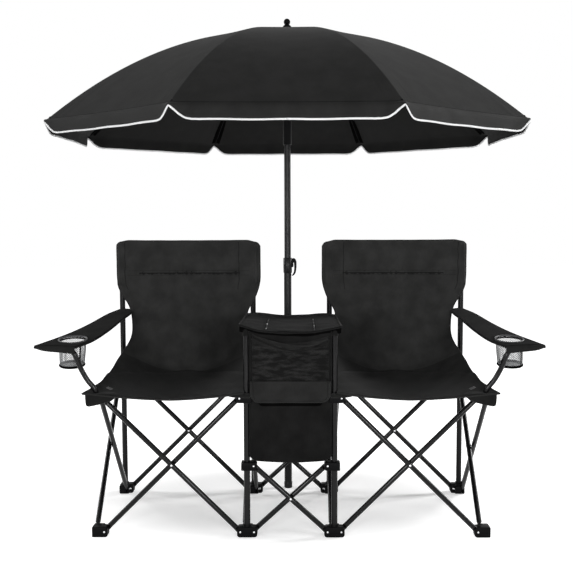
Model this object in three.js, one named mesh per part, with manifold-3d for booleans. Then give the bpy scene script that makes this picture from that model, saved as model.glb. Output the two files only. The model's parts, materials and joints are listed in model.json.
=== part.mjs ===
// A folding camping loveseat: two chairs on scissor frames, joined by a table with a hanging
// cooler bag, under an umbrella. Millimetres, +Z up, the sitter looks along -Y and +X is the
// right-hand side of somebody who faces the seats.
// The origin lies on the ground under the axis of the umbrella pole.
import * as THREE from 'three';
import { mergeVertices } from 'three/addons/utils/BufferGeometryUtils.js';
import Module from 'manifold-3d';

const wasm = await Module();
wasm.setup();

// Plan of the frame: four columns from left to right, each with a rear and a front corner
const chairPitch = 457;
const centrePitch = 266;
const poleLeftOfMiddle = 12.7;
const poleBehindRearPosts = 56;
const seatRise = 412;
const sliderRise = 204.6;

// Tubes and their joints
const postRadius = 9.5;
const barRadius = 8;
const barGap = 1;
const barEndWidth = 17;
const barEndThickness = 6;
const barFlatLength = 20;
const barNeckLength = 42;
const rivetOffset = 21;
const rivetRadius = 3;
const rivetHeadRadius = 4.6;
const rivetHeadHeight = 1.6;
const rivetClearance = 0.3;
const slotClearance = 0.4;
const runningClearance = 0.6;
const seatGap = 0.3;

// Feet and hubs, moulded plastic
const rivetHeight = 17;
const footHeight = 32;
const footFloor = 5.6;
const blockHalfWidth = 17;
const blockReach = 31;
const blockCorner = 7;
const blockChamfer = 2;
const socketRadius = 12;
const socketHeight = 38;
const hubTop = 11;
const hubBottom = 15;
const slotRoof = 9.2;

// Heights of the posts
const backTop = 889;
const postCapBelowBack = 4;
const tableHeight = 648;
const tableRearHeight = 637;
const postCapHeight = 5;

// Seat slings
const slingThickness = 2;
const pocketHeight = 140;
const pocketWall = 1.8;

// Armrests and their bent struts
const armrestRearHeight = 650;
const armrestFrontHeight = 588;
const armrestThickness = 5;
const strutRadius = 8;
const cupRadius = 44;
const cupBottomRadius = 36.6;
const cupDepth = 82;
const cupRimRadius = 3.2;
const cupWall = 1.6;
const cupInset = 76;
const cupForward = 39;
const armTipWidth = 173;
const armFrontReach = 30;
const armLip = 16;
const strutLean = 16;
const strutOut = 63;

// Table and cooler bag
const tableHalfWidth = 153;
const tableOverhangFront = 8;
const tableCoverThickness = 4;
const bagBottom = 234;
const bagDepth = 300;
const bagWall = 5;
const lidHalfWidth = 72;
const lidLength = 280;

// Umbrella
const upperPoleRadius = 11.5;
const poleWall = 1.2;
const upperPoleBottom = 560;
const lowerPoleRadius = 13.4;
const lowerPoleTop = 828;
const collarHeight = 53;
const collarRadius = 16;
const poleCapHeight = 22;
const poleCapRadius = 15.5;
const canopyRadius = 822;
const canopyDrop = 328;
const canopyTop = 1612.6;
const canopyPower = 2.1;
const canopyThickness = 1.5;
const valanceDrop = 46;
const hemInset = 16;
const umbrellaTurn = 0.5;
const ribCount = 8;
const ribRadius = 3;
const ribDepth = 7;
const crownRadius = 23;
const crownHeight = 30;
const ribPivotRadius = 17.5;
const finialRadius = 14.3;
const finialNeck = 17.2;
const finialSkirtRadius = 17;
const finialStemRadius = 4;
const runnerBelowTop = 282.6;
const runnerHeight = 60;
const runnerRadius = 17;
const runnerFlangeRadius = 24;
const runnerFlangeHeight = 10;
const screwBelowCollarTop = 27;
const screwRadius = 3.5;
const screwBossRadius = 6.5;
const screwBossReach = 20;
const screwReach = 23;
const hookRadius = 2.8;
const hookOut = 9;
const hookHigh = 24;
const clampRingWall = 3;
const crownOverPole = 24;

// Facets
const tubeSides = 8;
const postSides = 12;
const rivetSides = 6;
const poleSides = 12;
const finialSteps = 6;
const armColumns = 4;
const strutSteps = 8;
const ribSteps = 7;
const hookSteps = 10;
const cutOverrun = 2;
const weld = 0.0005;
const facetTolerance = 0.01;

// Places that follow from the sizes above
const midX = poleLeftOfMiddle;
const rearY = -poleBehindRearPosts;
const frontY = rearY - chairPitch;
const columns = {
  outer_left: midX - centrePitch / 2 - chairPitch,
  inner_left: midX - centrePitch / 2,
  inner_right: midX + centrePitch / 2,
  outer_right: midX + centrePitch / 2 + chairPitch,
};
const barOffset = barRadius + barGap / 2;
const chairBarSpan = chairPitch - 2 * rivetOffset;
const centreBarSpan = centrePitch - 2 * rivetOffset;
const chairBarLength = Math.hypot(chairBarSpan, seatRise);
const centreBarLength = Math.hypot(centreBarSpan, sliderRise);
const hubHeight = rivetHeight + seatRise;
const sliderHeight = rivetHeight + sliderRise;
const bracketHeight = rivetHeight + sliderRise / 2;
const screwHeight = lowerPoleTop - screwBelowCollarTop;
const runnerHeightAtRest = canopyTop - runnerBelowTop;

const tableFront = frontY - postRadius - tableOverhangFront;
const tableRear = rearY - postRadius - seatGap;
const tableHeightAt = (y) => THREE.MathUtils.mapLinear(
  y, tableFront, tableRear, tableHeight, tableRearHeight,
);

const X = new THREE.Vector3(1, 0, 0);
const Y = new THREE.Vector3(0, 1, 0);
const Z = new THREE.Vector3(0, 0, 1);

function plastic(colour, roughness = 0.5) {
  return new THREE.MeshStandardMaterial({ color: colour, roughness, metalness: 0 });
}

function coatedSteel(colour = 0x17181a) {
  return new THREE.MeshStandardMaterial({ color: colour, roughness: 0.35, metalness: 0.4 });
}

function cloth(colour) {
  return new THREE.MeshStandardMaterial({ color: colour, roughness: 0.85, metalness: 0 });
}

// Turn a closed geometry into a solid that can be joined and cut.
function solid(geometry) {
  const bare = geometry.clone();
  bare.deleteAttribute('normal');
  bare.deleteAttribute('uv');
  const merged = mergeVertices(bare, weld);
  return new wasm.Manifold(new wasm.Mesh({
    numProp: 3,
    vertProperties: new Float32Array(merged.attributes.position.array),
    triVerts: new Uint32Array(merged.index.array),
  }));
}

function geometryOf(manifold) {
  const mesh = manifold.asOriginal().simplify(facetTolerance).getMesh();
  const positions = new Float32Array(mesh.numVert * 3);
  for (let vertex = 0; vertex < mesh.numVert; vertex += 1) {
    for (let axis = 0; axis < 3; axis += 1) {
      positions[3 * vertex + axis] = mesh.vertProperties[mesh.numProp * vertex + axis];
    }
  }
  const geometry = new THREE.BufferGeometry();
  geometry.setAttribute('position', new THREE.BufferAttribute(positions, 3));
  geometry.setIndex(new THREE.BufferAttribute(new Uint32Array(mesh.triVerts), 1));
  geometry.computeVertexNormals();
  return geometry;
}

function union(solids) {
  return solids.reduce((whole, next) => whole.add(next));
}

// A cylinder from one point to another.
function rod(start, end, radius, sides) {
  const along = new THREE.Vector3().subVectors(end, start);
  const geometry = new THREE.CylinderGeometry(radius, radius, along.length(), sides);
  geometry.rotateY(Math.PI / sides);
  geometry.translate(0, along.length() / 2, 0);
  geometry.applyQuaternion(new THREE.Quaternion().setFromUnitVectors(Y, along.normalize()));
  geometry.translate(start.x, start.y, start.z);
  return solid(geometry);
}

function verticalRod(x, y, bottom, top, radius, sides) {
  return rod(new THREE.Vector3(x, y, bottom), new THREE.Vector3(x, y, top), radius, sides);
}

// The radius at which a faceted bore still clears a round part.
function boreRadius(radius, sides) {
  return radius / Math.cos(Math.PI / sides);
}

function box(low, high) {
  const size = new THREE.Vector3().subVectors(high, low);
  const geometry = new THREE.BoxGeometry(size.x, size.y, size.z);
  geometry.translate(low.x + size.x / 2, low.y + size.y / 2, low.z + size.z / 2);
  return solid(geometry);
}

// A solid of revolution about Z from (radius, height) pairs that start and end on the axis.
function turned(profile, sides) {
  const points = profile.map(([radius, height]) => new THREE.Vector2(radius, height));
  const geometry = new THREE.LatheGeometry(points, sides);
  geometry.rotateX(Math.PI / 2);
  return solid(geometry);
}

// Skin a stack of closed rings, with flat ends.
function loft(rings) {
  const count = rings[0].length;
  const positions = [];
  const faces = [];
  for (const ring of rings) {
    for (const point of ring) {
      positions.push(point.x, point.y, point.z);
    }
  }
  for (let ring = 0; ring + 1 < rings.length; ring += 1) {
    for (let side = 0; side < count; side += 1) {
      const next = (side + 1) % count;
      const a = ring * count + side;
      const b = ring * count + next;
      faces.push(a, b, b + count, a, b + count, a + count);
    }
  }
  const last = (rings.length - 1) * count;
  for (let side = 1; side + 1 < count; side += 1) {
    faces.push(0, side + 1, side, last, last + side, last + side + 1);
  }
  const geometry = new THREE.BufferGeometry();
  geometry.setAttribute('position', new THREE.Float32BufferAttribute(positions, 3));
  geometry.setIndex(faces);
  return geometry;
}

// Give a grid of points a thickness to the back of its faces. Rows may close on themselves.
function sheet(grid, thickness, closedRows = false) {
  const rows = grid.length;
  const count = grid[0].length;
  const positions = grid.flat().flatMap((point) => [point.x, point.y, point.z]);
  const faces = [];
  const across = closedRows ? count : count - 1;
  for (let row = 0; row + 1 < rows; row += 1) {
    for (let column = 0; column < across; column += 1) {
      const next = (column + 1) % count;
      const a = row * count + column;
      const b = row * count + next;
      faces.push([a, b, b + count], [a, b + count, a + count]);
    }
  }
  const front = new THREE.BufferGeometry();
  front.setAttribute('position', new THREE.Float32BufferAttribute(positions, 3));
  front.setIndex(faces.flat());
  front.computeVertexNormals();
  const normals = front.attributes.normal.array;
  const total = rows * count;
  const back = positions.map((value, index) => value - thickness * normals[index]);
  const skin = faces.flatMap(([a, b, c]) => [a, b, c, a + total, c + total, b + total]);
  const rim = (a, b) => skin.push(b, a, a + total, b, a + total, b + total);
  for (let column = 0; column < across; column += 1) {
    const next = (column + 1) % count;
    rim(column, next);
    rim((rows - 1) * count + next, (rows - 1) * count + column);
  }
  if (!closedRows) {
    for (let row = 0; row + 1 < rows; row += 1) {
      rim((row + 1) * count, row * count);
      rim((row + 1) * count - 1, (row + 2) * count - 1);
    }
  }
  const geometry = new THREE.BufferGeometry();
  geometry.setAttribute('position', new THREE.Float32BufferAttribute([...positions, ...back], 3));
  geometry.setIndex(skin);
  return geometry;
}

function roundedRectangle(left, right, low, high, corner) {
  const shape = new THREE.Shape();
  shape.moveTo(left + corner, low);
  shape.lineTo(right - corner, low);
  shape.absarc(right - corner, low + corner, corner, -Math.PI / 2, 0);
  shape.absarc(right - corner, high - corner, corner, 0, Math.PI / 2);
  shape.absarc(left + corner, high - corner, corner, Math.PI / 2, Math.PI);
  shape.absarc(left + corner, low + corner, corner, Math.PI, 1.5 * Math.PI);
  return shape;
}

function extruded(shape, bottom, top, curveSegments = 1) {
  const geometry = new THREE.ExtrudeGeometry(shape, {
    depth: top - bottom, curveSegments, bevelEnabled: false,
  });
  geometry.translate(0, 0, bottom);
  return solid(geometry);
}

// Quarter turns that bring an arm from +X to its heading
const headings = { '+x': 0, '+y': 1, '-x': 2, '-y': 3 };

// One arm of a foot or hub: its block, the slot for a bar's flat end, and the rivet across it.
// side is +1 or -1: which side of the column's plane the bar lies on, along +Y or +X.
function rivetArm(heading, side, bottom, top, slotBottom, slotTop) {
  const quarter = headings[heading];
  const localSide = side * (quarter === 0 || quarter === 3 ? 1 : -1);
  const shoulder = blockReach - blockCorner;
  const nose = blockHalfWidth - blockCorner;
  const outline = new THREE.Shape();
  outline.moveTo(-blockHalfWidth, -blockHalfWidth);
  outline.lineTo(shoulder, -blockHalfWidth);
  outline.lineTo(blockReach, -nose);
  outline.lineTo(blockReach, nose);
  outline.lineTo(shoulder, blockHalfWidth);
  outline.lineTo(-blockHalfWidth, blockHalfWidth);
  const block = extruded(outline, bottom, top);
  const slotHalf = barEndThickness / 2 + slotClearance;
  const slotStart = rivetOffset - barEndWidth / 2 - slotClearance;
  const slot = box(
    new THREE.Vector3(slotStart, localSide * barOffset - slotHalf, slotBottom),
    new THREE.Vector3(blockReach + cutOverrun, localSide * barOffset + slotHalf, slotTop),
  );
  const ends = [-1, 1].map((end) => new THREE.Vector3(rivetOffset, end * blockHalfWidth, 0));
  const heads = ends.map((end) => rod(
    new THREE.Vector3(end.x, end.y - Math.sign(end.y) * blockChamfer, 0),
    new THREE.Vector3(end.x, end.y + Math.sign(end.y) * rivetHeadHeight, 0),
    rivetHeadRadius,
    rivetSides,
  ));
  const rivet = union([rod(ends[0], ends[1], rivetRadius, rivetSides), ...heads]);
  const turn = (part) => part.rotate([0, 0, 90 * quarter]);
  return { block: turn(block), slot: turn(slot), rivet: turn(rivet) };
}

// A moulded block that takes one bar's end in each of its arms. Heights are from the rivets.
function rivetBlock(arms, bottom, top, slotBottom, slotTop) {
  const made = arms.map(([heading, side]) => (
    rivetArm(heading, side, bottom, top, slotBottom, slotTop)
  ));
  const blocks = union(made.map((arm) => arm.block));
  const cut = made.reduce((whole, arm) => whole.subtract(arm.slot), blocks);
  return union([cut, ...made.map((arm) => arm.rivet)]);
}

function footBlock(arms) {
  const floor = footFloor - rivetHeight;
  const top = footHeight - rivetHeight;
  return rivetBlock(arms, -rivetHeight, top, floor, top + cutOverrun);
}

function hubBlock(arms, post) {
  const block = rivetBlock(arms, -hubBottom, hubTop, -hubBottom - cutOverrun, slotRoof);
  if (!post) {
    return block;
  }
  const bore = boreRadius(postRadius + runningClearance, postSides);
  return block.subtract(verticalRod(0, 0, -2 * hubBottom, 2 * hubTop, bore, postSides));
}

// A post from its foot up to a domed cap.
function post(height) {
  const shoulder = height - postCapHeight;
  return turned([
    [0, footFloor],
    [socketRadius, footFloor],
    [socketRadius, socketHeight],
    [postRadius, socketHeight],
    [postRadius, shoulder],
    [postRadius / 2, height],
    [0, height],
  ], postSides);
}

function leg(arms, height) {
  return union([footBlock(arms).translate([0, 0, rivetHeight]), post(height)]);
}

// A ring of points round a flattened tube: a circle stretched to a width and held to a thickness.
function flattenedRing(along, halfWidth, halfThickness) {
  const ring = [];
  for (let side = 0; side < tubeSides; side += 1) {
    const angle = (2 * Math.PI * (side + 0.5)) / tubeSides;
    const thickness = barRadius * Math.cos(angle);
    ring.push(new THREE.Vector3(
      along,
      THREE.MathUtils.clamp(thickness, -halfThickness, halfThickness),
      halfWidth * Math.sin(angle),
    ));
  }
  return ring;
}

// How far past its rivet the end of a bar is rounded, as shares of half its width
const barTipShares = [0.92, 0.45, 0];

// A frame bar along +X between its rivets, its ends pressed flat, rounded and drilled.
// middle is 'pin' for a crossing rivet that stands out along +Y, 'hole' for the bar it goes through.
function bar(length, middle) {
  const endHalf = barEndWidth / 2;
  const flat = barEndThickness / 2;
  const stations = [
    ...barTipShares.map((share) => [-share * endHalf, endHalf * Math.sqrt(1 - share * share), flat]),
    [barFlatLength, endHalf, flat],
    [barNeckLength, barRadius, barRadius],
  ];
  const far = stations.map(([along, width, thickness]) => [length - along, width, thickness]);
  const rings = [...stations, ...far.reverse()].map((station) => flattenedRing(...station));
  let made = solid(loft(rings));
  const reach = 2 * barRadius;
  const hole = boreRadius(rivetRadius + rivetClearance, rivetSides);
  const drilled = middle === 'hole' ? [0, length / 2, length] : [0, length];
  for (const along of drilled) {
    const start = new THREE.Vector3(along, -reach, 0);
    made = made.subtract(rod(start, new THREE.Vector3(along, reach, 0), hole, rivetSides));
  }
  if (middle === 'pin') {
    const head = barGap + 3 * barRadius + seatGap;
    const at = (away) => new THREE.Vector3(length / 2, away, 0);
    made = union([
      made,
      rod(at(0), at(head), rivetRadius, rivetSides),
      rod(at(head), at(head + rivetHeadHeight), rivetHeadRadius, rivetSides),
    ]);
  }
  return made;
}

const model = new THREE.Group();

function add(name, part, material, position = new THREE.Vector3(), basis = null) {
  const geometry = part.isBufferGeometry ? part : geometryOf(part);
  const mesh = new THREE.Mesh(geometry, material);
  mesh.name = name;
  mesh.position.copy(position);
  if (basis) {
    mesh.quaternion.setFromRotationMatrix(basis);
  }
  model.add(mesh);
  return mesh;
}

// Place a bar with its lower rivet at a corner, rising along a heading, on one side of its plane.
// towards is the side, along +Y or +X, that the bar's own +Y looks to.
function addBar(name, part, corner, heading, side, rise, span, towards) {
  const alongX = heading.endsWith('x');
  const sign = heading.startsWith('+') ? 1 : -1;
  const run = (alongX ? X : Y).clone().multiplyScalar(sign);
  const normal = (alongX ? Y : X).clone();
  const direction = run.clone().multiplyScalar(span).addScaledVector(Z, rise).normalize();
  const bank = normal.clone().multiplyScalar(towards);
  const third = new THREE.Vector3().crossVectors(direction, bank);
  const basis = new THREE.Matrix4().makeBasis(direction, bank, third);
  const position = new THREE.Vector3(corner.x, corner.y, rivetHeight);
  position.addScaledVector(run, rivetOffset);
  position.addScaledVector(normal, side * barOffset);
  return add(name, part, coatedSteel(), position, basis);
}

// Legs, feet and hubs
const corner = (column, row) => new THREE.Vector3(columns[column], row === 'rear' ? rearY : frontY, 0);
const legPlastic = plastic(0x1b1c1e);
const rearPostHeight = backTop - postCapBelowBack;
const frontPostHeight = tableHeightAt(frontY + postRadius) - tableCoverThickness - seatGap;

// In each front and rear scissor the bar that falls to the right is the one in front.
// In each side scissor the bar that rises to the rear is the one on the left.
// side is +1 for the bar that rises to the right, and for the bar that rises to the front.
const feet = {
  rear_leg_outer_left: ['outer_left', 'rear', [['+x', 1], ['-y', 1]], rearPostHeight],
  rear_leg_inner_left: ['inner_left', 'rear', [['-x', -1], ['+x', 1], ['-y', 1]], rearPostHeight],
  rear_leg_inner_right: ['inner_right', 'rear', [['-x', -1], ['+x', 1], ['-y', 1]], rearPostHeight],
  rear_leg_outer_right: ['outer_right', 'rear', [['-x', -1], ['-y', 1]], rearPostHeight],
  front_leg_inner_left: ['inner_left', 'front', [['-x', -1], ['+x', 1], ['+y', -1]], frontPostHeight],
  front_leg_inner_right: ['inner_right', 'front', [['-x', -1], ['+x', 1], ['+y', -1]], frontPostHeight],
};
for (const [name, [column, row, arms, height]] of Object.entries(feet)) {
  add(name, leg(arms, height), legPlastic, corner(column, row));
}
const outerFeet = {
  front_foot_outer_left: ['outer_left', [['+x', 1], ['+y', -1]]],
  front_foot_outer_right: ['outer_right', [['-x', -1], ['+y', -1]]],
};
for (const [name, [column, arms]] of Object.entries(outerFeet)) {
  const place = corner(column, 'front').setZ(rivetHeight);
  add(name, footBlock(arms), legPlastic, place);
}

const hubs = {
  rear_hub_outer_left: ['outer_left', 'rear', [['+x', -1], ['-y', -1]], hubHeight],
  rear_hub_inner_left: ['inner_left', 'rear', [['-x', 1], ['-y', -1]], hubHeight],
  rear_hub_inner_right: ['inner_right', 'rear', [['+x', -1], ['-y', -1]], hubHeight],
  rear_hub_outer_right: ['outer_right', 'rear', [['-x', 1], ['-y', -1]], hubHeight],
  front_hub_inner_left: ['inner_left', 'front', [['-x', 1], ['+y', 1]], hubHeight],
  front_hub_inner_right: ['inner_right', 'front', [['+x', -1], ['+y', 1]], hubHeight],
  table_slider_left: ['inner_left', 'front', [['+x', -1]], sliderHeight],
  table_slider_right: ['inner_right', 'front', [['-x', 1]], sliderHeight],
};
for (const [name, [column, row, arms, height]] of Object.entries(hubs)) {
  add(name, hubBlock(arms, true), plastic(0x202124), corner(column, row).setZ(height));
}

// Bars. The first of each pair starts at the foot that stands nearer the table, or at the rear.
const pinned = bar(chairBarLength, 'pin');
const holed = bar(chairBarLength, 'hole');
for (const [hand, inner, outer, away, back] of [
  ['left', 'inner_left', 'outer_left', '-x', '+x'],
  ['right', 'inner_right', 'outer_right', '+x', '-x'],
]) {
  const side = away === '-x' ? -1 : 1;
  for (const row of ['rear', 'front']) {
    const name = `${row}_bar_${hand}`;
    addBar(`${name}_a`, pinned, corner(inner, row), away, side, seatRise, chairBarSpan, -side);
    addBar(`${name}_b`, holed, corner(outer, row), back, -side, seatRise, chairBarSpan, 1);
  }
  for (const [place, column] of [['inner', inner], ['outer', outer]]) {
    const name = `${place}_side_bar_${hand}`;
    addBar(`${name}_a`, pinned, corner(column, 'rear'), '-y', 1, seatRise, chairBarSpan, -1);
    addBar(`${name}_b`, holed, corner(column, 'front'), '+y', -1, seatRise, chairBarSpan, 1);
  }
}
const halfSpan = centreBarSpan / 2;
const halfRise = sliderRise / 2;
const shortBar = bar(centreBarLength / 2, 'none');
addBar('centre_front_bar_a', bar(centreBarLength, 'pin'), corner('inner_left', 'front'), '+x', 1,
  sliderRise, centreBarSpan, -1);
addBar('centre_front_bar_b', bar(centreBarLength, 'hole'), corner('inner_right', 'front'), '-x', -1,
  sliderRise, centreBarSpan, 1);
addBar('centre_rear_bar_left', shortBar, corner('inner_left', 'rear'), '+x', 1, halfRise, halfSpan, 1);
addBar('centre_rear_bar_right', shortBar, corner('inner_right', 'rear'), '-x', -1, halfRise, halfSpan, 1);

// A round tube along a curve, with flat ends.
function tubeAlong(points, radius, sides, steps) {
  const shape = new THREE.Shape();
  for (let side = 0; side < sides; side += 1) {
    const angle = (2 * Math.PI * side) / sides;
    shape[side ? 'lineTo' : 'moveTo'](radius * Math.cos(angle), radius * Math.sin(angle));
  }
  return solid(new THREE.ExtrudeGeometry(shape, {
    extrudePath: new THREE.CatmullRomCurve3(points),
    steps,
    curveSegments: 1,
    bevelEnabled: false,
  }));
}

// The armrest's plan, as shares: across from the post to the tip, and forward from post to front
const armOuterShares = [[0.07, 0], [0.23, 0.14], [0.43, 0.4], [0.69, 0.72], [0.89, 0.9], [1, 0.98]];
const armInnerShares = [[-0.13, 0], [-0.18, 0.14], [-0.15, 0.3], [-0.06, 0.6], [0.08, 0.85], [0.3, 1]];
const armHeightAt = (y) => THREE.MathUtils.mapLinear(
  y, rearY, frontY - armFrontReach, armrestRearHeight, armrestFrontHeight,
);

// The top of the strut, under the front of the armrest
const strutTop = armHeightAt(frontY - strutLean) - armrestThickness - strutRadius / 2;
// The strut's bends as shares of its way out and of its height over the hub
const strutShares = [[0, 0], [0.02, 0.12], [0.33, 0.32], [0.62, 0.58], [0.84, 0.86], [1, 1]];

function strutPoints(outward) {
  const foot = hubTop - blockChamfer;
  const rise = strutTop - hubHeight - foot;
  return strutShares.map(([out, up]) => new THREE.Vector3(
    outward * strutOut * out, -strutLean * up, foot + rise * up,
  ));
}

function armSupport(outward, arms) {
  const strut = tubeAlong(strutPoints(outward), strutRadius, tubeSides, strutSteps);
  return union([hubBlock(arms, false), strut]);
}

const frontLeft = corner('outer_left', 'front').setZ(hubHeight);
const frontRight = corner('outer_right', 'front').setZ(hubHeight);
add('arm_support_left', armSupport(-1, [['+x', -1], ['+y', 1]]), coatedSteel(), frontLeft);
add('arm_support_right', armSupport(1, [['-x', 1], ['+y', 1]]), coatedSteel(), frontRight);

// The cup holder: a rim ring that carries a net basket, open at the top.
const cupHeight = armHeightAt(frontY + cupForward) + cupRimRadius + seatGap;

function cupHolder() {
  const inside = cupRadius - cupRimRadius;
  return turned([
    [0, -cupDepth],
    [cupBottomRadius, -cupDepth],
    [inside, -armrestThickness - cupRimRadius],
    [inside, -cupRimRadius],
    [cupRadius + cupRimRadius, -cupRimRadius],
    [cupRadius + cupRimRadius, 0],
    [cupRadius, cupRimRadius],
    [inside - cupWall, 0],
    [inside - cupWall, -armrestThickness - cupRimRadius],
    [cupBottomRadius - cupWall, cupWall - cupDepth],
    [0, cupWall - cupDepth],
  ], poleSides);
}

function cupPlace(outward, column) {
  return new THREE.Vector3(columns[column] + outward * cupInset, frontY + cupForward, cupHeight);
}
const armTilt = new THREE.Matrix4().makeRotationX(
  Math.atan2(armrestRearHeight - armrestFrontHeight, chairPitch + armFrontReach),
);

add('cup_holder_left', cupHolder(), plastic(0xb9bbbd), cupPlace(-1, 'outer_left'), armTilt);
add('cup_holder_right', cupHolder(), plastic(0xb9bbbd), cupPlace(1, 'outer_right'), armTilt);

// The armrest: a padded strap that widens from the rear post to the cup holder.
function armrest(outward, column) {
  const post = corner(column, 'rear');
  const depth = chairPitch + armFrontReach;
  const grid = armOuterShares.map((outerShare, row) => {
    const innerShare = armInnerShares[row];
    const line = [];
    for (let step = 0; step <= armColumns; step += 1) {
      const share = step / armColumns;
      const out = THREE.MathUtils.lerp(innerShare[0], outerShare[0], share) * armTipWidth;
      const forward = THREE.MathUtils.lerp(innerShare[1], outerShare[1], share);
      const y = rearY - forward * depth;
      line.push(new THREE.Vector3(post.x + outward * out, y, armHeightAt(y)));
    }
    return line;
  });
  const lip = grid[grid.length - 1].map((point) => (
    new THREE.Vector3(point.x, point.y - armrestThickness, point.z - armLip)
  ));
  const rows = [...grid, lip].map((line) => (outward < 0 ? line : line.reverse()));
  const strap = solid(sheet(rows, armrestThickness));
  const place = cupPlace(outward, column);
  const cupHole = boreRadius(cupRadius - cupRimRadius + seatGap, poleSides);
  const high = armrestRearHeight + armLip;
  const tilted = new THREE.Matrix4().makeTranslation(place.x, place.y, place.z).multiply(armTilt);
  const cup = verticalRod(0, 0, -cupRadius, cupRadius, cupHole, poleSides).transform(tilted.elements);
  const around = verticalRod(
    post.x, post.y, strutTop, high, postRadius + pocketWall + runningClearance, postSides,
  );
  const bore = boreRadius(postRadius + runningClearance, postSides);
  const inside = verticalRod(
    post.x, post.y, strutTop - cutOverrun, high + cutOverrun, bore, postSides,
  );
  const loopLow = armrestRearHeight - armLip;
  const clip = verticalRod(post.x, post.y, loopLow, armrestRearHeight, 2 * socketRadius, postSides);
  return union([strap, around.intersect(clip)]).subtract(inside).subtract(cup);
}

add('armrest_left', armrest(-1, 'outer_left'), cloth(0x1c1c1e));
add('armrest_right', armrest(1, 'outer_right'), cloth(0x1c1c1e));

// Half the back's width and the seat's inner front edge, as shares of half the chair's pitch
const backWidthShare = 1.079;
const innerFrontShare = 0.93;

// The seat sling's side edge, from the top of the back down and forward to the front corner:
// how far out from the chair's middle, how far forward, and how high over the hubs, as shares of
// half the chair's pitch, of its whole pitch, and of the back's height
const slingEdgeShares = [
  [backWidthShare, 0, 1], [backWidthShare, 0, 0.86], [1.075, 0, 0.7], [1.0, 0.002, 0.6], [0.915, 0.01, 0.537],
  [0.853, 0.025, 0.463], [0.823, 0.06, 0.357], [0.827, 0.11, 0.289], [0.86, 0.18, 0.239],
  [0.9, 0.28, 0.2], [0.945, 0.45, 0.14], [0.98, 0.68, 0.095], [1.04, 0.87, 0.066], [1.13, 1.03, 0.05],
];
// The same rows along the chair's middle, with no width
const slingMiddleShares = [
  [0, 0.996], [-0.01, 0.86], [-0.02, 0.7], [-0.03, 0.6], [-0.035, 0.52], [-0.04, 0.42],
  [-0.04, 0.31], [-0.035, 0.2], [-0.015, 0.1], [0.03, 0.025], [0.2, -0.03], [0.5, -0.05],
  [0.8, -0.04], [1.035, -0.011],
];
const slingBackPower = 2.6;
const slingSeatPower = 1.5;
const slingColumns = 6;

function slingGrid(outward, middle) {
  const half = chairPitch / 2;
  const rise = backTop - hubHeight;
  const front = rearY - postRadius - runningClearance - slingThickness;
  return slingEdgeShares.map(([width, forward, high], row) => {
    const [middleForward, middleHigh] = slingMiddleShares[row];
    const line = [];
    for (let step = 0; step <= slingColumns; step += 1) {
      const share = (2 * step) / slingColumns - 1;
      const side = Math.sign(share) * outward;
      const power = THREE.MathUtils.lerp(slingBackPower, slingSeatPower, Math.min(1, forward));
      const bend = Math.abs(share) ** power;
      const inner = Math.min(width, Math.max(innerFrontShare, backWidthShare - forward));
      const reach = side > 0 ? width : inner;
      line.push(new THREE.Vector3(
        middle + share * half * reach,
        front - chairPitch * THREE.MathUtils.lerp(middleForward, forward, bend),
        hubHeight + rise * THREE.MathUtils.lerp(middleHigh, high, bend),
      ));
    }
    return line.reverse();
  });
}

function seatSling(outward, inner, outer) {
  const middle = (columns[inner] + columns[outer]) / 2;
  const cover = solid(sheet(slingGrid(outward, middle), slingThickness));
  const pocketTop = backTop;
  const pocketBottom = backTop - pocketHeight;
  const pockets = [inner, outer].map((column) => verticalRod(
    columns[column], rearY, pocketBottom, pocketTop, postRadius + runningClearance + pocketWall, postSides,
  ));
  const bore = boreRadius(postRadius + runningClearance, postSides);
  const bores = [inner, outer].map((column) => verticalRod(
    columns[column], rearY, 0, pocketTop - pocketWall, bore, postSides,
  ));
  const place = corner(outer, 'front').setZ(hubHeight);
  const strutHole = tubeAlong(
    strutPoints(outward).map((point) => point.add(place)),
    strutRadius + 2 * runningClearance,
    tubeSides,
    strutSteps,
  );
  const frontPost = verticalRod(
    columns[inner], frontY, 0, tableHeight, bore, postSides,
  );
  const joined = union([cover, ...pockets]);
  return [...bores, strutHole, frontPost].reduce((whole, cut) => whole.subtract(cut), joined);
}

add('seat_sling_left', seatSling(-1, 'inner_left', 'outer_left'), cloth(0x1a1a1c));
add('seat_sling_right', seatSling(1, 'inner_right', 'outer_right'), cloth(0x1a1a1c));

// The cooler bag: the soft table top over the four inner posts, with the bag that hangs from it.
const bagHalfWidth = centrePitch / 2 - blockHalfWidth - rivetHeadHeight - runningClearance;
const panelHalfWidth = centrePitch / 2 - postRadius - runningClearance;
const bagFront = frontY - postRadius;
const lidFront = tableFront + tableOverhangFront + bagWall;
const lidRear = lidFront + lidLength;

// A slab of the sloping table top, between two places along X and two along Y.
function tableSlab(left, right, front, rear, thickness, above = 0) {
  const side = new THREE.Shape();
  side.moveTo(front, tableHeightAt(front) - thickness);
  side.lineTo(rear, tableHeightAt(rear) - thickness);
  side.lineTo(rear, tableHeightAt(rear) + above);
  side.lineTo(front, tableHeightAt(front) + above);
  const geometry = new THREE.ExtrudeGeometry(side, { depth: right - left, bevelEnabled: false });
  const upright = new THREE.Matrix4().makeBasis(Y, Z, X);
  geometry.applyMatrix4(upright);
  geometry.translate(left, 0, 0);
  return solid(geometry);
}

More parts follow.
